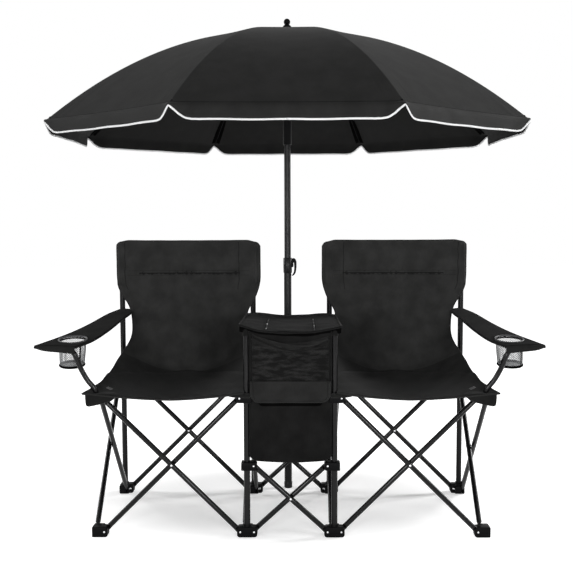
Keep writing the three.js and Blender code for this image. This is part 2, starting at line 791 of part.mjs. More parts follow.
function coolerBag() {
  const cover = tableSlab(
    midX - tableHalfWidth, midX + tableHalfWidth, tableFront, tableRear, tableCoverThickness,
  );
  const rear = bagFront + bagDepth;
  const under = tableHeightAt(rear) - tableCoverThickness;
  const outline = roundedRectangle(
    midX - bagHalfWidth, midX + bagHalfWidth, bagFront, rear, bagWall * 2,
  );
  const hollow = roundedRectangle(
    midX - bagHalfWidth + bagWall, midX + bagHalfWidth - bagWall,
    bagFront + bagWall, rear - bagWall, bagWall,
  );
  const panel = box(
    new THREE.Vector3(midX - panelHalfWidth, bagFront, bagBottom),
    new THREE.Vector3(midX + panelHalfWidth, bagFront + bagWall, under + seatGap),
  );
  const mouth = tableSlab(
    midX - lidHalfWidth - seatGap, midX + lidHalfWidth + seatGap,
    lidFront - seatGap, lidRear + seatGap, bagWall * 3, cutOverrun,
  );
  const inside = extruded(hollow, bagBottom + bagWall, under - cutOverrun);
  const hubsIn = [columns.inner_left, columns.inner_right].map((x) => {
    const reach = blockHalfWidth + rivetHeadHeight + runningClearance;
    return box(
      new THREE.Vector3(x - reach, frontY - reach, hubHeight - hubBottom - runningClearance),
      new THREE.Vector3(x + reach, frontY + reach, hubHeight + hubTop + runningClearance),
    );
  });
  const whole = union([cover, extruded(outline, bagBottom, under + seatGap), panel]);
  return [inside, mouth, ...hubsIn].reduce((left, cut) => left.subtract(cut), whole);
}

add('cooler_bag', coolerBag(), cloth(0x1d1d1f));
add('table_lid', tableSlab(
  midX - lidHalfWidth, midX + lidHalfWidth, lidFront, lidRear, tableCoverThickness,
), cloth(0x232325));

// The umbrella's lower pole, with its ground cap, clamp collar and the bracket on the rear bars.
function lowerPole() {
  const tube = turned([
    [0, 0],
    [poleCapRadius - blockChamfer, 0],
    [poleCapRadius, blockChamfer],
    [poleCapRadius, poleCapHeight],
    [lowerPoleRadius, poleCapHeight],
    [lowerPoleRadius, lowerPoleTop - collarHeight - blockChamfer],
    [collarRadius, lowerPoleTop - collarHeight],
    [collarRadius, lowerPoleTop],
    [0, lowerPoleTop],
  ], poleSides);
  const boss = rod(
    new THREE.Vector3(0, 0, screwHeight), new THREE.Vector3(screwBossReach, 0, screwHeight),
    screwBossRadius, rivetSides,
  );
  const inner = boreRadius(upperPoleRadius + rivetClearance, poleSides);
  const bore = verticalRod(0, 0, poleCapHeight / 2, lowerPoleTop + cutOverrun, inner, poleSides);
  const screwHole = boreRadius(screwRadius + rivetClearance, rivetSides);
  const thread = rod(
    new THREE.Vector3(0, 0, screwHeight), new THREE.Vector3(2 * screwReach, 0, screwHeight),
    screwHole, rivetSides,
  );
  const flat = barEndThickness / 2;
  const arm = rearY + barOffset + flat + slotClearance;
  const armHalf = barEndThickness;
  const armHigh = barEndWidth / 2;
  const arms = box(
    new THREE.Vector3(-lowerPoleRadius - clampRingWall, arm, bracketHeight - armHigh),
    new THREE.Vector3(midX + armHigh, arm + armHalf, bracketHeight + armHigh),
  );
  const web = box(
    new THREE.Vector3(-armHalf, arm, bracketHeight - armHigh),
    new THREE.Vector3(armHalf, 0, bracketHeight + armHigh),
  );
  const clampRing = verticalRod(
    0, 0, bracketHeight - armHigh - blockChamfer, bracketHeight + armHigh + blockChamfer,
    lowerPoleRadius + clampRingWall, poleSides,
  );
  const pinEnd = rearY - barOffset - flat - slotClearance;
  const at = (y) => new THREE.Vector3(midX, y, bracketHeight);
  const spacer = barOffset - flat - slotClearance;
  const pin = union([
    rod(at(arm + armHalf / 2), at(pinEnd), rivetRadius, rivetSides),
    rod(at(pinEnd), at(pinEnd - rivetHeadHeight), rivetHeadRadius, rivetSides),
    rod(at(rearY + spacer), at(rearY - spacer), rivetHeadRadius, rivetSides),
  ]);
  return union([tube, boss, arms, web, clampRing]).subtract(bore).subtract(thread).add(pin);
}

add('umbrella_lower_pole', lowerPole(), coatedSteel());

const upperPoleTop = canopyTop - crownOverPole;

function upperPole() {
  const radius = upperPoleRadius;
  const tube = verticalRod(0, 0, upperPoleBottom, upperPoleTop, radius, poleSides);
  const inside = verticalRod(
    0, 0, upperPoleBottom - cutOverrun, upperPoleTop - poleWall * 4, radius - poleWall, poleSides,
  );
  return tube.subtract(inside);
}

add('umbrella_upper_pole', upperPole(), coatedSteel(0x1e1f21));

// The clamp screw: a threaded shank with a hooked handle to turn it by.
const hookShares = [[0, 0], [0.5, 0.05], [0.9, 0.3], [1, 0.65], [0.75, 0.95], [0.3, 1]];

function clampScrew() {
  const tip = upperPoleRadius + seatGap;
  const shank = rod(
    new THREE.Vector3(tip, 0, 0), new THREE.Vector3(screwReach, 0, 0), screwRadius, rivetSides,
  );
  const points = hookShares.map(([out, high]) => (
    new THREE.Vector3(screwReach - hookRadius + hookOut * out, 0, hookHigh * high)
  ));
  return union([shank, tubeAlong(points, hookRadius, rivetSides, hookSteps)]);
}

add('clamp_screw', clampScrew(), coatedSteel(0x2a2b2d), new THREE.Vector3(0, 0, screwHeight));

// The canopy's height at a distance from the pole, along a rib.
function canopyHeight(radius) {
  return canopyTop - canopyDrop * (radius / canopyRadius) ** canopyPower;
}

const ribAngles = [];
for (let rib = 0; rib < ribCount; rib += 1) {
  const turn = THREE.MathUtils.degToRad(umbrellaTurn);
  ribAngles.push((2 * Math.PI * (rib + 0.5)) / ribCount - Math.PI / 2 + turn);
}
const radial = (angle, radius, z) => (
  new THREE.Vector3(radius * Math.cos(angle), radius * Math.sin(angle), z)
);

// The canopy's rows from the crown to the hem, and its columns from one rib to the next
const canopyRowShares = [0.12, 0.3, 0.48, 0.66, 0.83, 1];
const canopyColumnShares = [0, 0.07, 0.5, 0.93];
// How far the hem hangs down at a rib, where it is held, as a share of its drop
const heldHemShare = 0.12;

function canopy() {
  const hole = boreRadius(finialStemRadius + 2 * runningClearance, ribCount);
  const radii = [hole, ...canopyRowShares.map((share) => share * canopyRadius)];
  const ring = (radius, drop) => ribAngles.flatMap((angle, rib) => {
    const next = ribAngles[(rib + 1) % ribCount];
    return canopyColumnShares.map((share) => {
      const from = radial(angle, radius, canopyHeight(radius));
      const to = radial(next, radius, canopyHeight(radius));
      const point = from.lerp(to, share);
      const bend = 4 * share * (1 - share) * (radius / canopyRadius) ** 2;
      const drawnIn = 1 - (bend * hemInset) / Math.hypot(point.x, point.y);
      point.x *= drawnIn;
      point.y *= drawnIn;
      point.z -= share > 0 ? drop : drop * heldHemShare;
      return point;
    });
  });
  const rows = radii.map((radius) => ring(radius, 0));
  rows.push(ring(canopyRadius + canopyThickness, valanceDrop));
  return sheet(rows.map((row) => row.reverse()), canopyThickness, true);
}

add('umbrella_canopy', canopy(), cloth(0x202022));

// The crown: a notched cap on the pole's top, with the finial that stands through the canopy.
// A skirt under the finial's ball lies over the canopy's hole.
const crownTop = canopyTop - canopyThickness - 2 * runningClearance;
const ribPivotHeight = canopyTop - ribDepth - ribRadius;

function crown() {
  const bottom = canopyTop - crownHeight;
  const slotStart = ribPivotRadius - ribRadius - seatGap;
  const skirt = canopyTop + runningClearance;
  const ball = canopyTop + finialNeck + finialRadius;
  const stem = [
    [0, bottom], [crownRadius, bottom], [crownRadius, crownTop - blockChamfer],
    [crownRadius - 2 * blockChamfer, crownTop], [finialStemRadius, crownTop], [finialStemRadius, skirt],
    [finialSkirtRadius, skirt], [finialSkirtRadius, skirt + blockChamfer],
  ];
  const arc = [];
  for (let step = 1; step <= finialSteps; step += 1) {
    const angle = (Math.PI * step) / finialSteps - Math.PI / 2;
    arc.push([finialRadius * Math.cos(angle), ball + finialRadius * Math.sin(angle)]);
  }
  arc[arc.length - 1][0] = 0;
  let made = turned([...stem, ...arc], poleSides);
  for (const angle of ribAngles) {
    const half = ribRadius + seatGap;
    const slot = box(
      new THREE.Vector3(slotStart, -half, bottom - cutOverrun),
      new THREE.Vector3(crownRadius + cutOverrun, half, ribPivotHeight + ribRadius + seatGap),
    );
    made = made.subtract(slot.rotate([0, 0, THREE.MathUtils.radToDeg(angle)]));
  }
  const bore = boreRadius(upperPoleRadius + seatGap, poleSides);
  const reach = upperPoleTop + seatGap;
  return made.subtract(verticalRod(0, 0, bottom - cutOverrun, reach, bore, poleSides));
}

add('umbrella_crown', crown(), plastic(0x141416));

// The runner slides on the pole and carries the stretchers.
function runner() {
  const low = -runnerHeight;
  const flange = turned([
    [0, low], [runnerRadius, low], [runnerRadius, -runnerFlangeHeight],
    [runnerFlangeRadius, -runnerFlangeHeight / 2], [runnerFlangeRadius, 0], [0, 0],
  ], poleSides);
  const bore = boreRadius(upperPoleRadius + runningClearance, poleSides);
  return flange.subtract(verticalRod(0, 0, low - cutOverrun, cutOverrun, bore, poleSides));
}

add('umbrella_runner', runner(), plastic(0x1a1a1c), new THREE.Vector3(0, 0, runnerHeightAtRest));

// A rib, bent like the canopy, from its pivot in the crown to its tip.
function rib() {
  const points = [new THREE.Vector3(ribPivotRadius, 0, ribPivotHeight)];
  const reach = canopyRadius - 2 * ribDepth;
  for (let step = 1; step <= ribSteps; step += 1) {
    const radius = ribPivotRadius + ((reach - ribPivotRadius) * step) / ribSteps;
    const slope = (-canopyPower * (canopyTop - canopyHeight(radius))) / radius;
    const normal = new THREE.Vector2(-slope, 1).normalize();
    const depth = ribDepth + ribRadius / 2;
    points.push(new THREE.Vector3(
      radius - depth * normal.x, 0, canopyHeight(radius) - depth * normal.y,
    ));
  }
  return tubeAlong(points, ribRadius, rivetSides, ribSteps);
}

const ribShape = geometryOf(rib());
ribAngles.forEach((angle, index) => {
  const mesh = add(`umbrella_rib_${index + 1}`, ribShape, coatedSteel(0x3a3b3d));
  mesh.rotation.z = angle;
});

export default model;
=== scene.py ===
# The looks of a folding camping loveseat: two fabric chairs on one scissor frame, a table with a
# hanging cooler bag between them, and an umbrella on a pole behind the table.
# Everything is in metres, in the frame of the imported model: +Z up, the sitters look along -Y.
import json
import math

import bmesh
import bpy
import numpy as np
from mathutils import Matrix, Vector


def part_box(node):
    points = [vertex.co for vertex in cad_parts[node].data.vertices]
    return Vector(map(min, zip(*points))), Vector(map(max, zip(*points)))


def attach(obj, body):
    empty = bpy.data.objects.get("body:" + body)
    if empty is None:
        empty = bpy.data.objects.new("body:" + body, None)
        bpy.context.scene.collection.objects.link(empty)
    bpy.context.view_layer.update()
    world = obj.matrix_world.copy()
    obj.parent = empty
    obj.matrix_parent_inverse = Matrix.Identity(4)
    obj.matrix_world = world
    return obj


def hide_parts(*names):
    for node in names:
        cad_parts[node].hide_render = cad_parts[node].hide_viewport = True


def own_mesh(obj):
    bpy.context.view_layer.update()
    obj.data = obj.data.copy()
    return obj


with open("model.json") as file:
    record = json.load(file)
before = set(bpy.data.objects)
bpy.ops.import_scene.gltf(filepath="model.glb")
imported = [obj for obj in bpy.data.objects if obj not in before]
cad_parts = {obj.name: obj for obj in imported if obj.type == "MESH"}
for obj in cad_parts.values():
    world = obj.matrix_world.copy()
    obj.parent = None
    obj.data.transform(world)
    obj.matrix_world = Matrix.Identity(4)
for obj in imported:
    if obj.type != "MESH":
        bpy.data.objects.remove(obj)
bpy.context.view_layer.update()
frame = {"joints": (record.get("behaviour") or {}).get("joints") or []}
# Tables of small sizes are typed in millimetres and multiplied by this where they are used
mm = 0.001

# Places from the frame
joints = {joint["name"]: joint for joint in frame["joints"]}
rivet_offset = 21 * mm
post_radius = 9.5 * mm
bar_radius = 8 * mm
bar_offset = 8.5 * mm
column_x = {
    "outer_left": joints["rear_leg_outer_left_pivot"]["pos_m"][0] - rivet_offset,
    "inner_left": joints["frame_fold"]["pos_m"][0] + rivet_offset,
    "inner_right": joints["rear_leg_inner_right_pivot"]["pos_m"][0] + rivet_offset,
    "outer_right": joints["rear_leg_outer_right_pivot"]["pos_m"][0] + rivet_offset,
}
rear_y = joints["frame_fold"]["pos_m"][1]
rivet_z = joints["frame_fold"]["pos_m"][2]
front_y = joints["front_bar_left_a_foot_pivot"]["pos_m"][1]
hub_z = joints["rear_hub_inner_left_pivot"]["pos_m"][2]
slider_z = joints["table_slider_left_pivot"]["pos_m"][2]
bracket_z = joints["pole_bracket_left_pivot"]["pos_m"][2]
middle_x = joints["pole_bracket_left_pivot"]["pos_m"][0]
pitch = rear_y - front_y
row_y = {"rear": rear_y, "front": front_y}
hand_signs = {"left": -1, "right": 1}

# Camera
sensor_mm = 36
lens_mm = 58.89
far_limit = 60
camera_place = Vector((34.2, -3314.5, 981.5)) * mm
camera_turns = (("Z", 0.666), ("X", -4.407), ("Y", 0.167))


def placed(name, data):
    """A new object in the scene."""
    made = bpy.data.objects.new(name, data)
    bpy.context.scene.collection.objects.link(made)
    return made


def make_camera():
    data = bpy.data.cameras.new("camera")
    data.sensor_width = sensor_mm
    data.lens = lens_mm
    data.clip_end = far_limit
    camera = placed("camera", data)
    turn = Matrix.Identity(4)
    for axis, degrees in camera_turns:
        turn = turn @ Matrix.Rotation(math.radians(degrees), 4, axis)
    # a camera looks down its own -Z, and this turn makes that +Y
    upright = Matrix.Rotation(math.radians(90), 4, "X")
    camera.matrix_world = Matrix.Translation(camera_place) @ turn @ upright
    bpy.context.scene.camera = camera


make_camera()


# Materials
class Shader:
    """A material under construction: its nodes are added by kind and wired by name."""

    def __init__(self, name):
        self.material = bpy.data.materials.new(name)
        self.material.use_nodes = True
        self.tree = self.material.node_tree
        self.surface = self.tree.nodes["Principled BSDF"]

    def add(self, kind, inputs=None, output=0, **settings):
        node = self.tree.nodes.new("ShaderNode" + kind)
        for key, value in settings.items():
            setattr(node, key, value)
        for key, value in (inputs or {}).items():
            self.wire(node.inputs[key], value)
        return node.outputs[output]

    def wire(self, socket, value):
        if isinstance(value, bpy.types.NodeSocket):
            self.tree.links.new(value, socket)
        else:
            socket.default_value = value

    def set(self, **values):
        for key, value in values.items():
            self.wire(self.surface.inputs[key.replace("_", " ")], value)

    def maths(self, operation, first, second=0.0):
        return self.add("Math", {0: first, 1: second}, operation=operation)

    def noise(self, scale, where, detail=3.0, stretch=None):
        if stretch:
            where = self.add("VectorMath", {0: where, 1: stretch}, operation="MULTIPLY")
        return self.add("TexNoise", {"Vector": where, "Scale": scale, "Detail": detail})

    def ramp(self, value, low, high, start=0.0, end=1.0, **settings):
        return self.add("MapRange", {0: value, 1: start, 2: end, 3: low, 4: high}, **settings)

    def weave(self, uv, thread):
        """Two waves that cross, one along each direction of the threads."""
        split = self.tree.nodes.new("ShaderNodeSeparateXYZ")
        self.wire(split.inputs[0], uv)
        turns = 2 * math.pi / thread
        waves = [self.maths("SINE", self.maths("MULTIPLY", split.outputs[axis], turns)) for axis in (0, 1)]
        return self.maths("MULTIPLY", *waves)

    def tinted(self, value, dark, light):
        mix = self.tree.nodes.new("ShaderNodeMix")
        mix.data_type = "RGBA"
        self.wire(mix.inputs[0], value)
        mix.inputs[6].default_value = (*dark, 1)
        mix.inputs[7].default_value = (*light, 1)
        return mix.outputs[2]

    def bump(self, height, distance, strength=1.0):
        normal = self.add("Bump", {"Height": height, "Distance": distance, "Strength": strength})
        self.set(Normal=normal)


def shaded(colour, share):
    return [share * value for value in colour]


def cloth_material(name, dark, light, thread, roughness=0.78, bump=0.12, sheen=0.06, shine=0.03):
    """Woven polyester. Its UV map is in metres, so the threads keep their real width."""
    made = Shader(name)
    uv = made.add("UVMap", uv_map="cloth")
    weave = made.ramp(made.weave(uv, thread), 0, 1, -1, 1)
    place = made.add("TexCoord", output="Object")
    streaks = made.ramp(made.noise(streak_scale, place, 5), 0, 1, 0.36, 0.64)
    slubs = made.noise(slub_scale, uv, 2, (1, 0.12, 1))
    tone = made.maths("ADD", made.maths("MULTIPLY", streaks, 0.6), made.maths("MULTIPLY", slubs, 0.4))
    made.set(
        Base_Color=made.tinted(tone, dark, light),
        Roughness=made.ramp(streaks, roughness - 0.08, roughness + 0.08),
        Sheen_Weight=sheen,
        Sheen_Roughness=0.45,
        Specular_IOR_Level=shine,
    )
    height = made.maths("ADD", weave, made.maths("MULTIPLY", slubs, 0.8))
    made.bump(height, thread * bump, 0.6)
    return made.material


def mesh_material():
    """The pocket's net: fine holes show as a dark dotted pattern on a lighter yarn."""
    made = Shader("mesh_cloth")
    uv = made.add("UVMap", uv_map="cloth")
    holes = made.ramp(made.weave(uv, mesh_thread), 0, 1, -0.2, 0.6)
    crumple_and_shade = made.noise(crumple_scale, made.add("TexCoord", output="Object"), 6, (0.7, 1, 2.4))
    # the net is darker where its crumples sink: painted shade in their hollows
    tone = made.maths("MULTIPLY", holes, made.ramp(crumple_and_shade, 0.1, 1.0, 0.42, 0.62))
    made.set(Base_Color=made.tinted(tone, grey(0.003), grey(0.056)), Roughness=0.8, Specular_IOR_Level=0.1)
    height = made.maths("ADD", holes, made.maths("MULTIPLY", crumple_and_shade, 6.0))
    made.bump(height, 0.0009, 0.8)
    return made.material


def paint_material(name, colour, roughness, shine=0.3, grain=900):
    """Paint or moulded plastic, with a fine peel and a little wear."""
    made = Shader(name)
    place = made.add("TexCoord", output="Object")
    peel = made.noise(grain, place, 2)
    wear = made.noise(wear_scale, place, 4)
    made.set(
        Base_Color=made.tinted(wear, shaded(colour, 0.8), shaded(colour, 1.25)),
        Roughness=made.ramp(wear, roughness - 0.05, roughness + 0.07),
        Specular_IOR_Level=shine,
    )
    made.bump(peel, 0.00001, 0.5)
    return made.material


def metal_material(name, colour, roughness):
    made = Shader(name)
    place = made.add("TexCoord", output="Object")
    brushed = made.noise(brush_scale, place, 2, (1, 1, 0.2))
    made.set(
        Base_Color=made.tinted(brushed, shaded(colour, 0.85), colour),
        Roughness=made.ramp(brushed, roughness - 0.06, roughness + 0.06),
        Metallic=1.0,
    )
    return made.material


def grey(value):
    """A dark neutral, a touch warmer than an even grey."""
    return (value, value, value * 0.985)


# How many features of each noise fit in a metre
streak_scale = 17
slub_scale = 420
crumple_scale = 34
wear_scale = 40
brush_scale = 1500
# Widths of the threads
chair_thread = 1.1 * mm
canopy_thread = 0.7 * mm
mesh_thread = 2.2 * mm

seat_cloth = cloth_material("seat_cloth", grey(0.014), grey(0.0275), chair_thread, 0.8, 0.12, 0.04, 0.02)
# The back is the seat's fabric in a lighter grey: painted light on the upright back
back_cloth = cloth_material("back_cloth", grey(0.0205), grey(0.04), chair_thread, 0.8, 0.12, 0.04, 0.02)
# The armrest is the seat's fabric painted darker: painted shade of the umbrella on its top
arm_cloth = cloth_material("arm_cloth", grey(0.008), grey(0.016), chair_thread, 0.9, 0.12, 0.03, 0.0)
bag_cloth = cloth_material("bag_cloth", grey(0.005), grey(0.0138), chair_thread, 0.85)
# The table's top is the same fabric painted darker: painted shade of the umbrella over it
table_cloth = cloth_material("table_cloth", grey(0.006), grey(0.017), chair_thread, 0.92, 0.2, 0.045, 0.0)
# The underside of the canopy and valance, painted darker than the top: painted shade under the canopy
canopy_lining = cloth_material("canopy_lining", grey(0.0125), grey(0.019), canopy_thread, 0.8)
flap_cloth = cloth_material("flap_cloth", grey(0.0135), grey(0.0275), chair_thread)
lining_cloth = cloth_material("lining_cloth", (0.30, 0.31, 0.32), (0.40, 0.41, 0.42), 2 * mm)
canopy_cloth = cloth_material("canopy_cloth", grey(0.0205), grey(0.0285), canopy_thread, 0.7, 0.08, 0.07, 0.0)
valance_cloth = cloth_material("valance_cloth", grey(0.015), grey(0.024), canopy_thread, 0.7, 0.08, 0.05)
binding_cloth = cloth_material("binding_cloth", grey(0.019), grey(0.028), 1.6 * mm, 0.7)
boot_cloth = cloth_material("boot_cloth", grey(0.0085), grey(0.015), chair_thread, 0.8)
dark_cloth = cloth_material("dark_cloth", grey(0.006), grey(0.011), chair_thread, 0.85, 0.1, 0.1)
piping_cloth = cloth_material("piping_cloth", (0.80, 0.81, 0.82), (0.9, 0.9, 0.9), 1.2 * mm, 0.6, 0.1, 0.1)
net_cloth = cloth_material("net_cloth", (0.2, 0.205, 0.21), (0.34, 0.345, 0.35), 1.4 * mm, 0.6)
zip_cloth = cloth_material("zip_cloth", grey(0.02), grey(0.1), 2.4 * mm, 0.6, 0.12, 0.02, 0.05)
tack_cloth = cloth_material("tack_cloth", (0.16, 0.16, 0.16), (0.3, 0.3, 0.3), 0.8 * mm)
# The blackest cloth: a black band at the foot of the cup's basket, and painted shade under the table's front
# edge, under the bag's flap and round the canopy's rib tips
shade_cloth = cloth_material("shade_cloth", grey(0.002), grey(0.0035), chair_thread, 0.9, 0.12, 0.0, 0.0)
header_cloth = cloth_material("header_cloth", grey(0.009), grey(0.024), chair_thread, 0.85)
lip_cloth = cloth_material("lip_cloth", grey(0.013), grey(0.021), chair_thread, 0.85)
frame_paint = paint_material("frame_paint", (0.0045, 0.0045, 0.0048), 0.13, 0.16)
pole_paint = paint_material("pole_paint", (0.014, 0.014, 0.0145), 0.26, 0.12)
rib_paint = paint_material("rib_paint", (0.005, 0.005, 0.0053), 0.4, 0.02)
foot_plastic = paint_material("foot_plastic", (0.004, 0.004, 0.0043), 0.4, 0.04, 500)
ring_plastic = paint_material("ring_plastic", (0.07, 0.07, 0.073), 0.4, 0.15, 400)
gloss_plastic = paint_material("gloss_plastic", (0.004, 0.004, 0.0043), 0.3, 0.03, 300)
mesh_cloth = mesh_material()
rivet_steel = metal_material("rivet_steel", (0.6, 0.6, 0.61), 0.3)


# Mesh pieces
def unit(vectors):
    lengths = np.linalg.norm(vectors, axis=-1, keepdims=True)
    return vectors / np.maximum(lengths, 1e-12)


def spline(table, at):
    """Smooth values between the rows of a table, at row numbers that may be fractions."""
    table = np.asarray(table, float)
    last = len(table) - 1
    at = np.clip(np.asarray(at, float), 0, last)
    low = np.minimum(at.astype(int), last - 1)
    share = (at - low)[..., None]
    before, start = table[np.maximum(low - 1, 0)], table[low]
    end, after = table[low + 1], table[np.minimum(low + 2, last)]
    bend = 2 * before - 5 * start + 4 * end - after
    twist = 3 * start - before - 3 * end + after
    curve = bend * share + twist * share**2
    return start + 0.5 * share * (end - before + curve)


def smooth(value):
    value = np.clip(value, 0, 1)
    return value * value * (3 - 2 * value)


def table_spline(values, at):
    """The same for a list of single values."""
    return spline(np.array(values)[:, None], at)[..., 0]


def xyz(x, y, z):
    """Points from their coordinates, each an array or one value for all."""
    return np.stack(np.broadcast_arrays(x, y, z), axis=-1)


def full_circle(count):
    return np.linspace(0, 2 * math.pi, count, endpoint=False)


def profile(pairs, base=0.0):
    """(radius, height) pairs typed in millimetres, in metres above a base height."""
    return [(radius * mm, base + height * mm) for radius, height in pairs]


def drum(radius, low, high):
    """The profile of a plain cylinder."""
    return [(0, low), (radius, low), (radius, high), (0, high)]


def arc(radius, centre, start, end, count):
    """A stretch of a ball's profile, between two angles above its middle."""
    angles = np.linspace(start, end, count)
    return [(radius * math.cos(angle), centre + radius * math.sin(angle)) for angle in angles]


def level_rings(x, y, radius, heights, sides):
    """Circles round an upright axis, one at each height, as a grid of points."""
    angles = full_circle(sides)
    return xyz(x + radius * np.cos(angles), y + radius * np.sin(angles), np.array(heights)[:, None])


def edge_of(points):
    """The points round the edge of a grid, in order."""
    return np.concatenate([points[0], points[1:, -1], points[-1, ::-1][1:], points[::-1, 0][1:-1]])


def grid_cells(rows, count, wrap=True):
    """The corners of each cell of a grid, by the numbers of its points."""
    index = np.arange(rows * count).reshape(rows, count)
    right = np.roll(index, -1, 1)
    if not wrap:
        index, right = index[:, :-1], right[:, :-1]
    return np.stack([index[:-1], right[:-1], right[1:], index[1:]], axis=2)


class Piece:
    """One visible piece, gathered from grids, sweeps and turned shapes before it becomes a mesh."""

    def __init__(self, name):
        self.name = name
        self.points, self.faces, self.uvs, self.looks, self.normals = [], [], [], [], []
        self.materials = []

    def look_of(self, material):
        """The number of a material in this piece."""
        if material not in self.materials:
            self.materials.append(material)
        return self.materials.index(material)

    def add(self, points, faces, material, uvs=None, normals=None):
        points = np.asarray(points, float).reshape(-1, 3)
        start = len(self.points)
        flat = points[:, [0, 2]] + points[:, [1, 1]] * 0.7
        uvs = flat if uvs is None else np.asarray(uvs, float).reshape(-1, 2)
        normals = np.zeros((len(points), 3)) if normals is None else normals.reshape(-1, 3)
        self.points.extend(points.tolist())
        self.uvs.extend(uvs.tolist())
        self.normals.extend(normals.tolist())
        self.faces.extend([[start + corner for corner in face] for face in faces])
        self.looks.extend([self.look_of(material)] * len(faces))

    def grid(self, points, material, thickness=0.0, normals=None, wrap=False, keep=None, lining=None):
        """A sheet through a grid of points, with a second layer behind it where it is thick."""
        rows, count = points.shape[:2]
        if normals is None:
            along = np.gradient(points, axis=0)
            across = np.roll(points, -1, 1) - np.roll(points, 1, 1) if wrap else np.gradient(points, axis=1)
            normals = unit(np.cross(across, along))
        steps = np.linalg.norm(np.diff(points, axis=1, prepend=points[:, :1]), axis=2).cumsum(1)
        climbs = np.linalg.norm(np.diff(points, axis=0, prepend=points[:1]), axis=2).cumsum(0)
        uvs = np.stack([steps, climbs], axis=2)
        cells = grid_cells(rows, count, wrap)
        front = (cells.reshape(-1, 4) if keep is None else cells[keep]).tolist()
        if not thickness:
            self.add(points, front, material, uvs, normals)
            return
        total = rows * count
        back = [[corner + total for corner in reversed(face)] for face in front]
        edges = {}
        for face in front:
            for first, second in zip(face, face[1:] + face[:1]):
                if (second, first) in edges:
                    del edges[(second, first)]
                else:
                    edges[(first, second)] = True
        rim = [[second, first, first + total, second + total] for first, second in edges]
        flat, flat_normals = points.reshape(-1, 3), normals.reshape(-1, 3)
        both = np.concatenate([flat, flat - thickness * flat_normals])
        both_normals = np.concatenate([flat_normals, -flat_normals])
        both_uvs = np.concatenate([uvs.reshape(-1, 2)] * 2)
        # points that no face uses are left out
        used = np.zeros(2 * total, bool)
        used[np.unique(np.array(front + back))] = True
        renumber = np.cumsum(used) - 1
        faces = [[int(renumber[corner]) for corner in face] for face in front + back + rim]
        start = len(self.looks) + len(front)
        self.add(both[used], faces, material, both_uvs[used], both_normals[used])
        if lining:
            self.looks[start:start + len(back)] = [self.look_of(lining)] * len(back)

    def sweep(self, path, rings, material, closed=False, up=None):
        """Carry a ring of (across, upward) pairs along a path. One ring, or one for each point."""
        path = np.asarray(path, float)
        if closed:
            along = unit(np.roll(path, -1, 0) - np.roll(path, 1, 0))
        else:
            along = unit(np.gradient(path, axis=0))
        side = np.array(up if up is not None else (0.0, 0.0, 1.0), float)
        if up is None and abs(along[0] @ side) > 0.9:
            side = np.array((0.0, 1.0, 0.0))
        rings = np.asarray(rings, float)
        if rings.ndim == 2:
            rings = np.repeat(rings[None], len(path), 0)
        points = []
        for centre, ring, direction in zip(path, rings, along):
            side = unit(side - (side @ direction) * direction)
            points.append(centre + ring[:, :1] * np.cross(direction, side) + ring[:, 1:] * side)
        rows, count = len(path), rings.shape[1]
        if closed:
            cells = (grid_cells(rows + 1, count) % (rows * count)).reshape(-1, 4).tolist()
        else:
            cells = grid_cells(rows, count).reshape(-1, 4).tolist()
            cells += [list(range(count))[::-1], list(range((rows - 1) * count, rows * count))]
        self.add(points, cells, material)

    def sheets(self, rings, material):
        """A closed shell through a stack of rings, with flat ends."""
        rows, count = rings.shape[:2]
        cells = grid_cells(rows, count)[..., [0, 3, 2, 1]].reshape(-1, 4).tolist()
        cells += [list(range(count)), list(range((rows - 1) * count, rows * count))[::-1]]
        self.add(rings, cells, material)

    def tube(self, path, radius, material, sides=12, closed=False):
        angles = full_circle(sides)
        ring = np.stack([np.cos(angles), np.sin(angles)], axis=1) * radius
        self.sweep(path, ring, material, closed)

    def turned(self, outline, material, at=(0, 0, 0), axis=(0, 0, 1), sides=32):
        """A solid of revolution from (radius, height) pairs that start and end on the axis."""
        turn = Vector((0, 0, 1)).rotation_difference(Vector(axis)).to_matrix()
        rings = [
            [(radius * math.cos(angle), radius * math.sin(angle), height) for angle in full_circle(sides)]
            for radius, height in outline if radius > 1e-9
        ]
        points = [tuple(turn @ Vector(point) + Vector(at)) for ring in rings for point in ring]
        faces = grid_cells(len(rings), sides).reshape(-1, 4).tolist()
        last = len(points) - sides
        for height, start, turned_over in ((outline[0][1], 0, True), (outline[-1][1], last, False)):
            tip = len(points)
            points.append(tuple(turn @ Vector((0, 0, height)) + Vector(at)))
            for side in range(sides):
                ends = [start + side, start + (side + 1) % sides]
                faces.append([tip, *(reversed(ends) if turned_over else ends)])
        self.add(points, faces, material)

    def mesh(self, source, material):
        """Take over the points and faces of another mesh object, which is then removed."""
        points = np.array([vertex.co for vertex in source.data.vertices], float)
        faces = [list(polygon.vertices) for polygon in source.data.polygons]
        self.add(points, faces, material)
        bpy.data.objects.remove(source)

    def object(self, angle=42):
        data = bpy.data.meshes.new(self.name)
        data.from_pydata(self.points, [], self.faces)
        for material in self.materials:
            data.materials.append(material)
        data.polygons.foreach_set("material_index", self.looks)
        layer = data.uv_layers.new(name="cloth")
        corners = np.zeros(len(data.loops), np.int32)
        data.loops.foreach_get("vertex_index", corners)
        layer.data.foreach_set("uv", np.array(self.uvs, np.float32)[corners].ravel())
        data.shade_smooth()
        data.set_sharp_from_angle(angle=math.radians(angle))
        normals = np.array(self.normals)
        if np.abs(normals).max() > 0:
            data.normals_split_custom_set_from_vertices(normals.tolist())
        data.update()
        return placed(self.name, data)

    def finish(self, body, replaces=(), angle=42):
        made = self.object(angle)
        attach(made, body)
        if replaces:
            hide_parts(*replaces)
        return made


